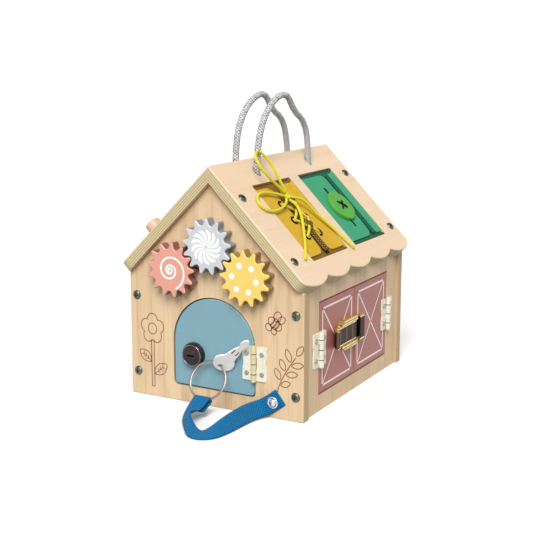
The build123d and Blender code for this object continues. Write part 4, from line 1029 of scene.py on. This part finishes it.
class EngraveGable(HousePiece, bpy.types.Operator):
    """Flower, twig and bee burnt into the gable as thin lines"""

    bl_idname = "busy_house.engrave_gable"
    bl_label = "Engraved Drawings"

    LINE = 0.9 * MM
    LIFT = 0.05
    FLOWER = (-66.0, 64.5)
    STEM_FOOT = 9.5
    BEE = (62.0, 85.0)
    TWIG_LEAVES = (
        (3, 20.0, 10.0), (5, 118.0, 11.0), (8, 8.0, 11.5), (9, 116.0, 11.0),
        (12, 10.0, 12.0), (13, 112.0, 12.0), (16, 58.0, 11.0),
    )

    def spot(self, x, z, turn=0.0, a=0.0, b=0.0):
        """A point of the gable, from steps along and across a direction turned by degrees."""
        c, s = math.cos(math.radians(turn)), math.sin(math.radians(turn))
        return front_point(x + a * c - b * s, z + a * s + b * c, self.LIFT)

    def ring(self, shape, x, z, across, up, turn=0.0):
        """An elliptical line about a point of the gable."""
        line = []
        for step in range(36):
            angle = 2 * math.pi * step / 36
            line.append(self.spot(x, z, turn, across * math.cos(angle), up * math.sin(angle)))
        strip(shape, line, self.LINE, close=True)

    def leaf(self, shape, x, z, reach, width, turn, vein=True):
        """A pointed leaf from its stalk end, with a middle vein."""
        line = []
        for step in range(32):
            share = step / 16
            side, t = (1, share) if share < 1 else (-1, 2 - share)
            line.append(self.spot(x, z, turn, reach * t, side * width / 2 * math.sin(math.pi * t) ** 0.8))
        strip(shape, line, self.LINE, close=True)
        if not vein:
            return
        strip(shape, [self.spot(x, z, turn, reach * t) for t in (0.0, 0.4, 0.72)], self.LINE * 0.8)
        for start in (0.26, 0.46, 0.64):
            for side in (-1, 1):
                end = self.spot(x, z, turn, reach * (start + 0.13), side * width * 0.26)
                strip(shape, [self.spot(x, z, turn, reach * start), end], self.LINE * 0.6)

    def flower(self, shape):
        x, z = self.FLOWER
        petals = 5
        line = []
        for step in range(150):
            angle = 2 * math.pi * step / 150
            reach = 9.2 + 3.6 * abs(math.cos(petals * (angle - math.pi / 2) / 2)) ** 0.8
            line.append(self.spot(x + reach * math.cos(angle), z + 1.12 * reach * math.sin(angle)))
        strip(shape, line, self.LINE, close=True)
        self.ring(shape, x, z, 4.6, 5.2)
        left, right = x - 1.5, x + 1.5
        for side in (left, right):
            strip(shape, [self.spot(side, z - 10.4), self.spot(side, self.STEM_FOOT)], self.LINE)
        strip(shape, [self.spot(left, self.STEM_FOOT), self.spot(right, self.STEM_FOOT)], self.LINE)
        self.leaf(shape, x - 1.6, 33.0, 16.0, 9.5, 142.0)
        self.leaf(shape, x + 1.6, 21.5, 17.5, 10.0, 38.0)

    def twig(self, shape):
        stalk = [(64.7 + 18.0 * (step / 16) ** 1.4, 24.0 + 34.0 * step / 16) for step in range(17)]
        strip(shape, [self.spot(x, z) for x, z in stalk], self.LINE)
        for step, turn, reach in self.TWIG_LEAVES:
            x, z = stalk[step]
            stem = on_circle(math.radians(turn), 1.6)
            self.leaf(shape, x + stem.x, z + stem.z, reach, 5.4, turn, vein=False)

    def bee(self, shape):
        x, z = self.BEE
        lean = -38.0
        self.ring(shape, x, z, 7.4, 4.6, lean)
        for offset in (-2.6, 0.4, 3.2):
            tall = 4.2 * math.sqrt(max(0.0, 1 - (offset / 7.4) ** 2))
            ends = [(offset, -tall), (offset + 0.5, 0.0), (offset, tall)]
            strip(shape, [self.spot(x, z, lean, a, b) for a, b in ends], 1.5 * MM)
        self.ring(shape, x + 2.6, z + 6.6, 3.6, 4.6, -20.0)
        self.ring(shape, x + 6.6, z + 4.0, 3.0, 3.8, -52.0)
        self.ring(shape, x - 6.2, z - 3.4, 2.8, 3.4, 30.0)
        self.ring(shape, x - 1.0, z - 6.4, 2.6, 3.2, 10.0)

    def execute(self, context):
        brown = context.scene.busy_house_wood.burnt_line
        burnt = paint_finish("burnt_line", brown, 0.5, grain=(900.0, 900.0, 900.0))
        for name in ("flower", "twig", "bee"):
            new_piece("engraved_" + name, getattr(self, name), burnt, "house", "wood", smooth=False)
        return {"FINISHED"}


class PrintSideDoors(HousePiece, bpy.types.Operator):
    """Pale frame and cross on each side door"""

    bl_idname = "busy_house.print_side_doors"
    bl_label = "Side Door Lines"

    INSET = 6.3 * MM
    FRAME_LINE = 1.9 * MM
    CROSS_LINE = 1.5 * MM

    def execute(self, context):
        pale = paint_finish("barn_lines", context.scene.busy_house_wood.barn_line, 0.08)
        outward = Vector((1.0, 0.0, 0.0))
        x = SIDE_X + 0.05 * MM
        for node in ("side_door_front", "side_door_rear"):
            low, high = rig.box(node)
            near, far = low[1] + self.INSET, high[1] - self.INSET
            foot, head = low[2] + self.INSET, high[2] - self.INSET
            corners = [Vector((x, y, z)) for y, z in ((near, foot), (far, foot), (far, head), (near, head))]

            def lines(shape):
                for start, end in zip(corners, corners[1:] + corners[:1]):
                    reach = (end - start).normalized() * (0.8 * MM)
                    strip(shape, [start - reach, end + reach], self.FRAME_LINE, outward)
                for start, end in zip(corners[:2], corners[2:]):
                    strip(shape, [start, end], self.CROSS_LINE, outward)

            new_piece(node + "_lines", lines, pale, node, "barn_red", smooth=False)
        return {"FINISHED"}


class HangRopes(HousePiece, bpy.types.Operator):
    """Braided rope handles with their knots under the roof"""

    bl_idname = "busy_house.hang_ropes"
    bl_label = "Rope Handles"

    ACROSS = 11.0 * MM
    BRAID_DEPTH = 0.22 * MM
    RIGHT = (
        (-50.2, 185.5), (-50.2, 206.0), (-48.6, 224.0), (-44.4, 241.0), (-34.5, 257.5),
        (-19.5, 269.0), (-6.0, 273.8), (8.5, 273.5), (17.0, 263.5), (26.0, 255.5),
        (38.5, 249.5), (47.8, 238.0), (51.4, 220.0), (51.7, 204.0), (51.7, 185.5),
    )
    LEFT = (
        (-50.3, 185.5), (-50.3, 206.0), (-49.6, 224.0), (-46.0, 243.0), (-35.5, 259.0),
        (-20.0, 270.0), (-4.0, 274.8), (7.5, 272.3), (15.5, 262.0), (25.0, 255.8),
        (36.0, 250.5), (44.5, 240.0), (48.8, 224.0), (51.2, 206.0), (51.7, 185.5),
    )

    def stopper(self, shape, place):
        """An overhand knot below a rope's end."""
        loop = []
        for step in range(73):
            turn = 2 * math.pi * step / 72
            reach = 1.25 * MM * (2.0 + math.cos(3 * turn))
            drop = -6.0 * MM + 3.0 * MM * math.sin(3 * turn)
            loop.append(place + Vector((reach * math.cos(2 * turn), reach * math.sin(2 * turn), drop)))
        sweep_tube(shape, loop, 2.6 * MM, 14)

    def execute(self, context):
        soft = context.scene.busy_house_soft
        radius = soft.rope_diameter / 2
        finish = yarn_finish("grey_rope", soft.rope, 2.7, 0.7, 1.7, fleck=0.42)
        relief = braid_relief(radius, 7, self.BRAID_DEPTH)
        knots = []
        for side, name, route in ((1, "rope_handle_right", self.RIGHT), (-1, "rope_handle_left", self.LEFT)):
            points = [Vector((side * self.ACROSS, y * MM, z * MM)) for y, z in route]
            line = route_line(points, 12 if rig.quick() else 36)

            def braid(shape):
                sweep_tube(shape, line, radius - self.BRAID_DEPTH, 40, relief)

            rope = new_piece(name + "_braid", braid, finish, "house", "rope", name)
            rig.cord(
                rope,
                exit=line[0],
                length=along(line)[-1],
                diameter=soft.rope_diameter,
                far_end="knot",
                stiffness="limp",
                lay="hanging",
                path=line,
            )
            knots += [points[0], points[-1]]

        def stoppers(shape):
            for place in knots:
                self.stopper(shape, place)

        new_piece("rope_stopper_knots", stoppers, finish, "house", "rope", "rope_knots")
        return {"FINISHED"}


class LayFelt(HousePiece, bpy.types.Operator):
    """Felt backings and flaps in the roof windows"""

    bl_idname = "busy_house.lay_felt"
    bl_label = "Felt Windows"

    HALF_BACKING = 34.7
    BACKING_THICKNESS = 0.9 * MM

    def lay(self, name, build, material, slot, node, thickness):
        """Cloth over the roof board, thickened downwards."""
        piece = new_piece(name, build, material, "house", slot, node, facing=ROOF_NORMAL)
        thick = piece.modifiers.new("thickness", "SOLIDIFY")
        thick.thickness = thickness
        thick.offset = -1.0
        return piece

    def flap(self, name, fixed_y, free_y, corner, material, slot, node, ripple):
        """A flap that is fixed along one side and rounded along the other."""
        low = WINDOW_TOP + FLAP_MARGIN
        high = WINDOW_TOP + WINDOW_LENGTH - FLAP_MARGIN
        span = free_y - fixed_y
        rows, columns = 30, 44

        def place(row, column):
            share = 1 - (1 - row / rows) ** 1.6
            y = fixed_y + span * share
            short = max(0.0, corner - abs(free_y - y))
            inset = corner - math.sqrt(max(0.0, corner**2 - short**2))
            slope = low + inset + (high - low - 2 * inset) * column / columns
            wave = 0.16 * math.sin(slope * 0.21 + ripple) * share
            curl = 0.28 * share**3 + 0.9 * (1 - share) ** 12
            return roof_point(slope, y, FLAP_TOP - 0.2 + wave + curl)

        def build(shape):
            grid(shape, rows, columns, place)

        thickness = bpy.context.scene.busy_house_soft.felt_thickness
        piece = self.lay(name, build, material, slot, node, thickness)
        area = sum(face.area for face in piece.data.polygons)
        edge = piece.modifiers.new("soft_edge", "BEVEL")
        edge.width = 0.4 * MM
        edge.segments = 3
        edge.limit_method = "ANGLE"
        flat = ((high - low) * MM, abs(span) * MM)
        area = min(area, flat[0] * flat[1])
        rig.sheet(piece, flat=flat, held="laid", rests_on=["right_roof_board"], area=area)

    def backing(self, name, middle_y, material, slot, node):
        """The cloth on the floor of a window, with a few slow waves and turned-up corners."""
        rows, columns = 30, 36
        length = WINDOW_LENGTH - 0.6
        depth = 2 * self.HALF_BACKING

        def place(row, column):
            y = middle_y - self.HALF_BACKING + depth * row / rows
            slope = WINDOW_TOP + 0.3 + length * column / columns
            wave = 0.07 * math.sin(slope * 0.5 + 0.3 * y) + 0.06 * math.sin(0.8 * y)
            corner = row in (0, rows) and column in (0, 1, columns - 1, columns)
            return roof_point(slope, y, -3.0 + wave + (2.5 if corner else 0.0))

        def build(shape):
            grid(shape, rows, columns, place)

        piece = self.lay(name, build, material, slot, node, self.BACKING_THICKNESS)
        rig.sheet(piece, flat=(length * MM, depth * MM), held="laid", rests_on=["right_roof_board"])

    def execute(self, context):
        soft = context.scene.busy_house_soft
        yellow = felt_finish("yellow_felt", soft.yellow_felt)
        green = felt_finish("green_felt", soft.green_felt)
        brown = felt_finish("brown_cloth", soft.brown_cloth, 0.9)
        dark = felt_finish("dark_green_felt", soft.dark_green, 0.5)
        self.backing("lacing_cloth", LACING_Y, brown, "brown_felt", "lacing_backing")
        self.backing("button_cloth", 47.0, dark, "dark_green_felt", "button_backing")
        self.flap("lacing_flap_front", -74.7, -46.25, 8.0, yellow, "yellow_felt", "lacing_flaps", 0.4)
        self.flap("lacing_flap_rear", -5.3, -33.75, 8.0, yellow, "yellow_felt", "lacing_flaps", 1.9)
        self.flap("button_flap_front", 12.3, 60.4, 9.0, green, "green_felt", "button_flaps", 0.9)
        self.flap("button_flap_rear", 81.7, 70.2, 4.0, green, "green_felt", "button_flaps", 2.6)
        return {"FINISHED"}


class SewButton(HousePiece, bpy.types.Operator):
    """Button finish, its thread, the bound buttonhole and the seam's stitches"""

    bl_idname = "busy_house.sew_button"
    bl_label = "Button and Stitches"

    SLOPE = 73.0
    MIDDLE = 42.5
    SEAM = 65.4
    THREAD_REACH = 5.2
    THREAD_LIFT = 2.75

    def cross(self, shape):
        for tilt in (1, -1):
            lift = self.THREAD_LIFT + (0.35 if tilt > 0 else 0.0)
            inner = self.THREAD_REACH - 0.3
            points = []
            lifts = (0.4, lift, lift + 0.35, lift, 0.4)
            for reach, out in zip((-self.THREAD_REACH, -inner, 0.0, inner, self.THREAD_REACH), lifts):
                points.append(roof_point(self.SLOPE + reach, self.MIDDLE + reach * tilt, out))
            sweep_tube(shape, route_line(points, 8), 0.95 * MM, 8)

    def hole(self, shape):
        for end in (-1, 1):
            for step in range(16):
                slope = self.SLOPE + end * (24.0 - step * 0.55)
                left = roof_point(slope, self.MIDDLE - 1.0, FLAP_TOP + 0.1)
                right = roof_point(slope + 0.1, self.MIDDLE + 1.0, FLAP_TOP + 0.12)
                sweep_tube(shape, [left, right], 0.45 * MM, 6)

    def seam(self, shape):
        for phase in STRAND_PHASES:
            points = []
            for step in range(36):
                turn = step * 1.3 + phase
                out = FLAP_TOP + 0.3 + 0.5 * math.cos(turn)
                points.append(roof_point(36.0 + step * 2.12, self.SEAM + 3.0 * math.sin(turn), out))
            sweep_tube(shape, route_line(points, 4), 0.8 * MM, 8)

    def execute(self, context):
        soft = context.scene.busy_house_soft
        w = Finish("green_button", Specular_IOR_Level=0.25, Coat_Weight=0.1, Coat_Roughness=0.2)
        plastic = {"Paint": rgba(soft.button), "Grain": (60.0, 60.0, 60.0), "Variation": 0.15}
        layer = w.group("Brushed Paint", Place=w.place, **plastic)
        dress(w.coat(layer["Color"], layer["Roughness"]), "button")
        thread = yarn_finish("black_thread", soft.thread, 0.3, 1.0, 0.6, 0.0001)
        seam_thread = yarn_finish("dark_green_thread", soft.seam, 0.6, 1.0, 0.9, 0.0001)
        for name, build, finish in (
            ("button_thread", self.cross, thread),
            ("buttonhole_stitches", self.hole, thread),
            ("flap_seam_stitches", self.seam, seam_thread),
        ):
            new_piece(name, build, finish, "house", "green_felt")
        return {"FINISHED"}


class ThreadLace(HousePiece, bpy.types.Operator):
    """Lace through black-ringed eyelets, tied in a bow over a braided seam"""

    bl_idname = "busy_house.thread_lace"
    bl_label = "Lace and Eyelets"

    WEAVE_DEPTH = 0.05 * MM
    EYELET_RADIUS = 3.5
    KNOT = (49.5, -41.0, 3.2)
    STANDING_LOOP = (
        (46.6, -43.2, 5.6), (38.0, -53.0, 8.5), (29.0, -62.5, 12.0), (19.0, -67.5, 14.5),
        (9.5, -65.0, 15.5), (4.5, -57.5, 16.0), (5.5, -49.5, 15.5), (13.0, -45.0, 14.5),
        (22.5, -44.0, 13.0), (33.0, -44.5, 10.0), (45.6, -40.2, 5.4),
    )
    LYING_LOOP = (
        (47.6, -45.0, 2.8), (43.5, -53.0, 2.6), (40.0, -64.0, 2.2), (38.8, -75.5, 2.2),
        (42.0, -86.0, 2.2), (50.0, -91.0, 2.2), (57.6, -86.5, 2.2), (60.4, -75.5, 2.2),
        (59.6, -63.0, 3.0), (56.6, -52.0, 4.4), (51.6, -44.8, 3.2),
    )
    FRONT_TAIL = (
        (53.8, -41.8, 3.6), (61.0, -44.6, 7.4), (70.5, -49.6, 8.0), (80.5, -55.6, 6.0),
        (90.5, -63.0, 3.2), (99.0, -71.0, 2.2), (106.0, -80.0, 2.2), (112.2, -88.4, 2.2),
    )
    REAR_TAIL = (
        (51.4, -37.0, 3.8), (55.5, -29.0, 6.4), (62.5, -21.5, 5.2), (72.0, -16.0, 2.9),
        (83.5, -10.5, 2.2), (95.0, -6.0, 2.2), (107.0, -3.0, 2.2), (119.0, 1.5, 2.2),
    )

    def knot(self, shape):
        for turn, lift in ((20.0, 0.3), (75.0, -0.2), (-40.0, 0.9)):
            c, s = math.cos(math.radians(turn)), math.sin(math.radians(turn))
            line = []
            for step in range(33):
                angle = 2 * math.pi * step / 32
                a, b = 2.5 * MM * math.cos(angle), 1.6 * MM * math.sin(angle)
                out = lift * MM + 1.1 * MM * math.sin(2 * angle)
                across = SLOPE_DIR * (a * c - b * s) + Vector((0.0, a * s + b * c, 0.0))
                line.append(roof_point(*self.KNOT) + across + ROOF_NORMAL * out)
            sweep_tube(shape, line, self.radius, 12)

    def crossings(self, shape):
        low = FLAP_TOP + 1.4
        high = low + 2.2
        for upper, lower in zip(EYELET_SLOPES, EYELET_SLOPES[1:]):
            middle = (upper + lower) / 2
            under = [
                (upper, EYELET_LEFT, low),
                (middle - 0.6, LACING_Y, low - 0.6),
                (lower, EYELET_RIGHT, low),
            ]
            over = [
                (upper, EYELET_RIGHT, low),
                (upper + 4.5, EYELET_RIGHT - 5.5, high),
                (lower - 4.5, EYELET_LEFT + 5.5, high),
                (lower, EYELET_LEFT, low),
            ]
            for route in (under, over):
                first, last = [(*end[:2], FLAP_TOP - 0.8) for end in (route[0], route[-1])]
                points = [roof_point(*point) for point in (first, *route, last)]
                sweep_tube(shape, route_line(points, 10), self.radius, 14)

    def eyelets(self, shape):
        for slope in EYELET_SLOPES:
            for y, inner, start in ((EYELET_LEFT, 1, 0.0), (EYELET_RIGHT, -1, math.pi)):
                line = []
                for step in range(29):
                    turn = math.radians(55.0 + 250.0 * step / 28) * inner + start
                    away, aside = self.EYELET_RADIUS * math.sin(turn), self.EYELET_RADIUS * math.cos(turn)
                    line.append(roof_point(slope + away, y + aside, FLAP_TOP + 0.35))
                sweep_tube(shape, line, 0.85 * MM, 10)

    def strand(self, shape, phase, spread, height, radius):
        """One wavy strand that climbs over the places where the lace crosses."""
        humps = [(upper + lower) / 2 for upper, lower in zip(EYELET_SLOPES, EYELET_SLOPES[1:])]
        points = []
        for step in range(57):
            turn = step * 1.1 + phase
            slope = EYELET_SLOPES[0] + step
            lift = sum(4.2 * math.exp(-(((slope - hump) / 4.0) ** 2)) for hump in humps)
            out = FLAP_TOP + height + lift + 0.5 * math.cos(2 * turn)
            points.append(roof_point(slope, LACING_Y + spread * math.sin(turn), out))
        sweep_tube(shape, route_line(points, 3), radius * MM, 8)

    def braid(self, shape):
        for phase in STRAND_PHASES:
            self.strand(shape, phase, 2.7, 0.9, 0.85)

    def net(self, shape):
        for phase in (1.0, 1.0 + math.pi):
            self.strand(shape, phase, 3.3, 1.7, 0.45)

    def tack(self, shape):
        for lean in (-2.4, 2.4):
            start = roof_point(107.0, LACING_Y - lean, FLAP_TOP - 0.4)
            sweep_tube(shape, [start, roof_point(112.5, LACING_Y + lean, FLAP_TOP - 0.4)], 0.8 * MM, 8)

    def execute(self, context):
        soft = context.scene.busy_house_soft
        self.radius = soft.lace_diameter / 2
        finish = yarn_finish("yellow_lace", soft.lace, 0.5, 0.8, 0.22, 0.0002)
        relief = braid_relief(self.radius, 6, self.WEAVE_DEPTH)
        tie = new_piece("lace_bow_knot", self.knot, finish, "house", "lace", "lace_knot")
        runs = new_piece("lace_crossing_runs", self.crossings, finish, "house", "lace", "lace_crossings")
        for name, route, node, end, extra in (
            ("lace_standing_loop", self.STANDING_LOOP, "lace_loops", "knot", [tie]),
            ("lace_lying_loop", self.LYING_LOOP, "lace_loops", "knot", []),
            ("lace_front_tail", self.FRONT_TAIL, "lace_tails", "bare", [runs]),
            ("lace_rear_tail", self.REAR_TAIL, "lace_tails", "bare", []),
        ):
            line = route_line([roof_point(*point) for point in route], 8 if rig.quick() else 20)

            def lace(shape):
                sweep_tube(shape, line, self.radius - self.WEAVE_DEPTH, 24, relief)

            piece = new_piece(name, lace, finish, "house", "lace", node)
            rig.cord(
                piece,
                exit=line[0],
                length=along(line)[-1],
                diameter=soft.lace_diameter,
                far_end=end,
                stiffness="limp",
                lay="loose",
                path=line,
                with_pieces=extra,
            )
        thread = yarn_finish("eyelet_thread", soft.thread, 0.4, 1.0, 0.6, 0.0001)
        brown = yarn_finish("brown_braid", soft.braid, 0.7, 1.0, 1.2, 0.0002)
        dark = yarn_finish("brown_thread", soft.net, 0.4, 1.0, 0.6, 0.0001)
        new_piece("lacing_braid", self.braid, brown, "house", "brown_felt")
        new_piece("lacing_net", self.net, dark, "house", "brown_felt")
        new_piece("lacing_tack", self.tack, thread, "house", "brown_felt")
        new_piece("eyelet_rings", self.eyelets, thread, "house", "yellow_felt")
        return {"FINISHED"}


class HangKey(HousePiece, bpy.types.Operator):
    """Webbing strap with its sewn loop and rivet, the split ring, and dark plates in the key's slots as painted shade
    of its grooves
    """

    bl_idname = "busy_house.hang_key"
    bl_label = "Key Strap and Ring"

    ROUTE = (
        ((1.126, 0.7, 20.4), (-0.62, 0.0, 0.785)), ((0.908, 0.7, 10.3), (-0.62, 0.0, 0.785)),
        ((0.809, 5.5, 8.2), (-0.56, 0.03, 0.83)), ((0.754, 18.0, 8.2), (-0.52, 0.10, 0.85)),
        ((0.720, 36.0, 7.4), (-0.55, 0.22, 0.80)), ((0.689, 52.0, 6.0), (-0.62, 0.42, 0.66)),
        ((0.625, 65.0, 3.4), (-0.65, 0.68, 0.34)), ((0.478, 72.0, 1.4), (-0.35, 0.93, 0.06)),
        ((0.305, 70.0, 3.7), (-0.06, 0.95, 0.22)), ((0.140, 61.0, 8.6), (0.02, 0.46, 0.88)),
        ((0.045, 50.0, 8.6), (0.72, 0.18, 0.66)), ((-0.010, 37.0, 8.4), (0.99, 0.04, 0.12)),
    )
    RIVET_X = 60.6
    RIVET_HEIGHT = 14.6
    RIVET_PROFILE = (
        (0.02, 2.6), (1.0, 2.5), (1.8, 2.2), (2.4, 1.7), (2.8, 1.15), (3.1, 0.9),
        (3.5, 0.95), (4.0, 1.25), (4.6, 1.3), (5.2, 1.0), (5.5, 0.5), (5.5, 0.05),
        (2.0, 0.05), (2.0, -11.4), (5.0, -11.4), (5.0, -13.0), (0.02, -13.0),
    )
    KEY_EYE_ANGLE = 60.0
    KEY_POINTING = (0.74, -0.08, 0.665)
    KEY_ROLL = 35.0
    GROOVE_PLACE = 22.0
    GROOVE_SPREAD = 2.1
    GROOVE_RADIUS = 0.63 * MM
    RING_CENTRE = (2.0, 28.9, 13.8)
    RING_RADIUS = 17.5 * MM
    RING_LEAN = 30.0
    LOOP_RADIUS = 2.8 * MM
    FREE_END = ((28.0, 8.9), (33.5, 7.0))
    COLUMNS = 10

    def ring_way(self, turn):
        """A direction in the leaning ring's plane."""
        lean = math.radians(self.RING_LEAN)
        up = Vector((0.0, math.sin(lean), math.cos(lean)))
        return Vector((math.cos(turn), 0.0, 0.0)) + up * math.sin(turn)

    def ring_point(self, turn):
        return front_point(*self.RING_CENTRE) + self.ring_way(turn) * self.RING_RADIUS

    def strap(self, shape):
        """Webbing between two edge lines, ending in a loop round the ring."""
        soft = bpy.context.scene.busy_house_soft
        width, ring_x = soft.strap_width, self.RING_CENTRE[0]
        spans = []
        for (share, forward, z), across in self.ROUTE:
            place = front_point(ring_x + share * (self.RIVET_X - ring_x), z, forward)
            spans.append((place, Vector(across).normalized() * (width / 2)))
        half = Vector((width / 2, 0.0, 0.0))
        for degrees in range(120, -91, -30):
            turn = math.radians(degrees)
            swing = Vector((0.0, math.cos(turn), math.sin(turn))) * self.LOOP_RADIUS
            spans.append((self.ring_point(-math.pi / 2) + swing, half))
        for forward, z in self.FREE_END:
            spans.append((front_point(ring_x, z, forward), half))
        lines = [route_line([place + side * reach for place, reach in spans], 12) for side in (-1, 1)]
        layer = shape.loops.layers.uv.verify()
        middle = [(a + b) / 2 for a, b in zip(*lines)]
        travelled = along(middle)
        rows = []
        for a, b, heading in zip(*lines, headings(middle)):
            normal = heading.cross(b - a).normalized() * soft.strap_thickness
            row = []
            for face_side in (0.5, -0.5):
                for column in range(self.COLUMNS + 1)[:: 1 if face_side > 0 else -1]:
                    slim = 0.55 if column in (0, self.COLUMNS) else 1.0
                    spot = a.lerp(b, column / self.COLUMNS) + normal * (face_side * slim)
                    row.append(shape.verts.new(spot))
            rows.append(row)

        def unrolled(row, column):
            return travelled[row] / MM, width / MM * column / self.COLUMNS

        skin(shape, rows, ends=True, uv=(layer, unrolled))
        self.strap_length = travelled[-1]

    def split_ring(self, shape):
        normal = Vector((1.0, 0.0, 0.0)).cross(self.ring_way(math.pi / 2))
        rows = []
        for step in range(193):
            share = step / 192
            turn = math.radians(150.0 + 715.0 * share)
            ease = min(1.0, max(0.0, (share - 0.46) / 0.08))
            place = self.ring_point(turn) + normal * ((0.86 * ease - 0.43) * MM)
            outward = self.ring_way(turn)
            section = []
            for corner in range(16):
                angle = 2 * math.pi * corner / 16
                reach = outward * (1.0 * MM * math.cos(angle)) + normal * (0.42 * MM * math.sin(angle))
                section.append(shape.verts.new(place + reach))
            rows.append(section)
        skin(shape, rows, ends=True)

    def rivet(self, shape):
        under = bpy.context.scene.busy_house_soft.strap_thickness / MM
        lathe(shape, front_point(self.RIVET_X, self.RIVET_HEIGHT, under), self.RIVET_PROFILE)

    # Painted shade: dark plates set inside the key's slots stand in for the shade in milled grooves.
    def grooves(self, shape):
        point = Vector(self.KEY_POINTING).normalized()
        flat = (OUT_OF_GABLE - point * point.dot(OUT_OF_GABLE)).normalized()
        face = Matrix.Rotation(math.radians(self.KEY_ROLL), 3, point) @ flat
        across = face.cross(point)
        eye = self.ring_point(math.radians(self.KEY_EYE_ANGLE))
        for side in (-self.GROOVE_SPREAD, self.GROOVE_SPREAD):
            middle = eye + point * (self.GROOVE_PLACE * MM) + across * (side * MM)
            rim = []
            for depth in (0.3, -0.3):
                outline = []
                for step in range(24):
                    turn = 2 * math.pi * step / 24
                    straight = math.copysign(2.6, math.cos(turn)) * MM
                    ahead = point * (straight + self.GROOVE_RADIUS * math.cos(turn))
                    aside = across * (self.GROOVE_RADIUS * math.sin(turn))
                    outline.append(shape.verts.new(middle + ahead + aside + face * (depth * MM)))
                rim.append(outline)
            skin(shape, rim, ends=True)

    def execute(self, context):
        soft = context.scene.busy_house_soft
        metal = context.scene.busy_house_metal
        webbing = yarn_finish("blue_webbing", soft.webbing, 3.0, 1.0, 0.85, 0.0006)
        strap = new_piece("key_strap_webbing", self.strap, webbing, None, "blue_webbing", "key_strap")
        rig.blend(strap, "house", "front_door", start=(0.052, -0.12, 0.01), end=(0.008, -0.14, 0.01))
        flat = (soft.strap_width, self.strap_length)
        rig.sheet(strap, flat=flat, held="hung", rests_on=["strap_rivet", "key_ring"])
        plate = metal_finish("rivet_steel", metal.bright, SCREW_GREY, 0.15, 0.16, scratches=0.0)
        new_piece("domed_strap_rivet", self.rivet, plate, "house", "bright_chrome", "strap_rivet")
        # Painted shade: dark plates in the key's slots.
        shade = metal_finish("key_groove_shade", metal.patina_and_groove_shade, (0.1, 0.08, 0.05), 0.5, 0.35, metallic=0.4)
        new_piece("key_groove_shade_plates", self.grooves, shade, "key", "bright_chrome", smooth=False)
        wire = metal_finish("ring_steel", metal.ring_steel, (0.25, 0.22, 0.21), 0.25, 0.3, scratches=0.0)
        new_piece("split_key_ring", self.split_ring, wire, "key_ring", "bright_chrome", "key_ring")
        return {"FINISHED"}


class SetStage(HousePiece, bpy.types.Operator):
    """Pale floor, soft studio light and the camera"""

    bl_idname = "busy_house.set_stage"
    bl_label = "Stage"

    FLOOR_HALF = 40.0

    def add(self, name, data):
        """Puts a new object of the stage in the scene."""
        holder = bpy.data.objects.new(name, data)
        bpy.context.scene.collection.objects.link(holder)
        return holder

    def plane(self, shape):
        bmesh.ops.create_grid(shape, x_segments=1, y_segments=1, size=self.FLOOR_HALF)

    def execute(self, context):
        scene = context.scene
        stage = scene.busy_house_stage
        w = Finish("pale_floor", Specular_IOR_Level=0.05, Roughness=0.9)
        dimmer = rgba([0.985 * c for c in stage.floor])
        mesh = mesh_from("floor", self.plane)
        mesh.materials.append(w.coat(w.mix(w.noise(w.place, 3.0), rgba(stage.floor), dimmer)))
        floor = self.add("floor", mesh)
        floor.visible_diffuse = False
        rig.stage(floor)

        world = bpy.data.worlds.new("studio")
        world.use_nodes = True
        sky = Wiring(world.node_tree)
        height = sky.part(sky.add("ShaderNodeTexCoord").outputs["Generated"], 2)
        dome = sky.mix(sky.ramp(height, 0.04, 0.1), (1.0, 1.0, 1.0, 1.0), (0.52, 0.52, 0.52, 1.0))
        glow = sky.mix(sky.ramp(height, -0.04, -0.02), (0.3, 0.3, 0.29, 1.0), dome)
        sky.feed(world.node_tree.nodes["Background"], "Color", glow)
        scene.world = world
        scene.view_settings.view_transform = "Standard"

        lamp = bpy.data.lights.new("key_sun", "SUN")
        lamp.angle = math.radians(30.0)
        lamp.energy = 3.0
        towards = Vector((0.305, -0.645, 0.70))
        self.add("key_sun", lamp).rotation_euler = towards.to_track_quat("Z", "Y").to_euler()

        camera = bpy.data.cameras.new("camera")
        camera.lens = stage.lens
        camera.sensor_width = 36.0
        camera.clip_start = 0.01
        level = math.cos(stage.elevation)
        x, y = math.sin(stage.azimuth) * level, -math.cos(stage.azimuth) * level
        back = Vector((x, y, math.sin(stage.elevation)))
        scene.camera = self.add("camera", camera)
        scene.camera.location = Vector(stage.target) + back * stage.distance
        scene.camera.rotation_euler = (-back).to_track_quat("-Z", "Y").to_euler()
        return {"FINISHED"}


PIECES = (
    DressWood,
    DressPaint,
    DressMetal,
    PrintGears,
    EngraveGable,
    PrintSideDoors,
    HangRopes,
    LayFelt,
    SewButton,
    ThreadLace,
    HangKey,
    SetStage,
)


class BusyHousePanel(bpy.types.Panel):
    """Lists the pieces of the busy house"""

    bl_idname = "VIEW3D_PT_busy_house"
    bl_label = "Busy House"
    bl_space_type = "VIEW_3D"
    bl_region_type = "UI"
    bl_category = "Busy House"

    def draw(self, context):
        for piece in PIECES:
            self.layout.operator(piece.bl_idname)


SETTINGS = {
    "busy_house_wood": BusyHouseWood,
    "busy_house_metal": BusyHouseMetal,
    "busy_house_soft": BusyHouseSoft,
    "busy_house_stage": BusyHouseStage,
}


def register():
    for name, group in SETTINGS.items():
        bpy.utils.register_class(group)
        setattr(bpy.types.Scene, name, bpy.props.PointerProperty(type=group))
    for piece in PIECES:
        bpy.utils.register_class(piece)
    bpy.utils.register_class(BusyHousePanel)


def unregister():
    bpy.utils.unregister_class(BusyHousePanel)
    for piece in reversed(PIECES):
        bpy.utils.unregister_class(piece)
    for name, group in SETTINGS.items():
        delattr(bpy.types.Scene, name)
        bpy.utils.unregister_class(group)


def main():
    register()
    for piece in PIECES:
        category, action = piece.bl_idname.split(".")
        getattr(getattr(bpy.ops, category), action)()
    sizes = {"cad": [list(corner) for corner in cad_box], "visual": [list(corner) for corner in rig.bounds()]}
    with open("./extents.json", "w") as report:
        json.dump(sizes, report)


if __name__ == "__main__":
    main()
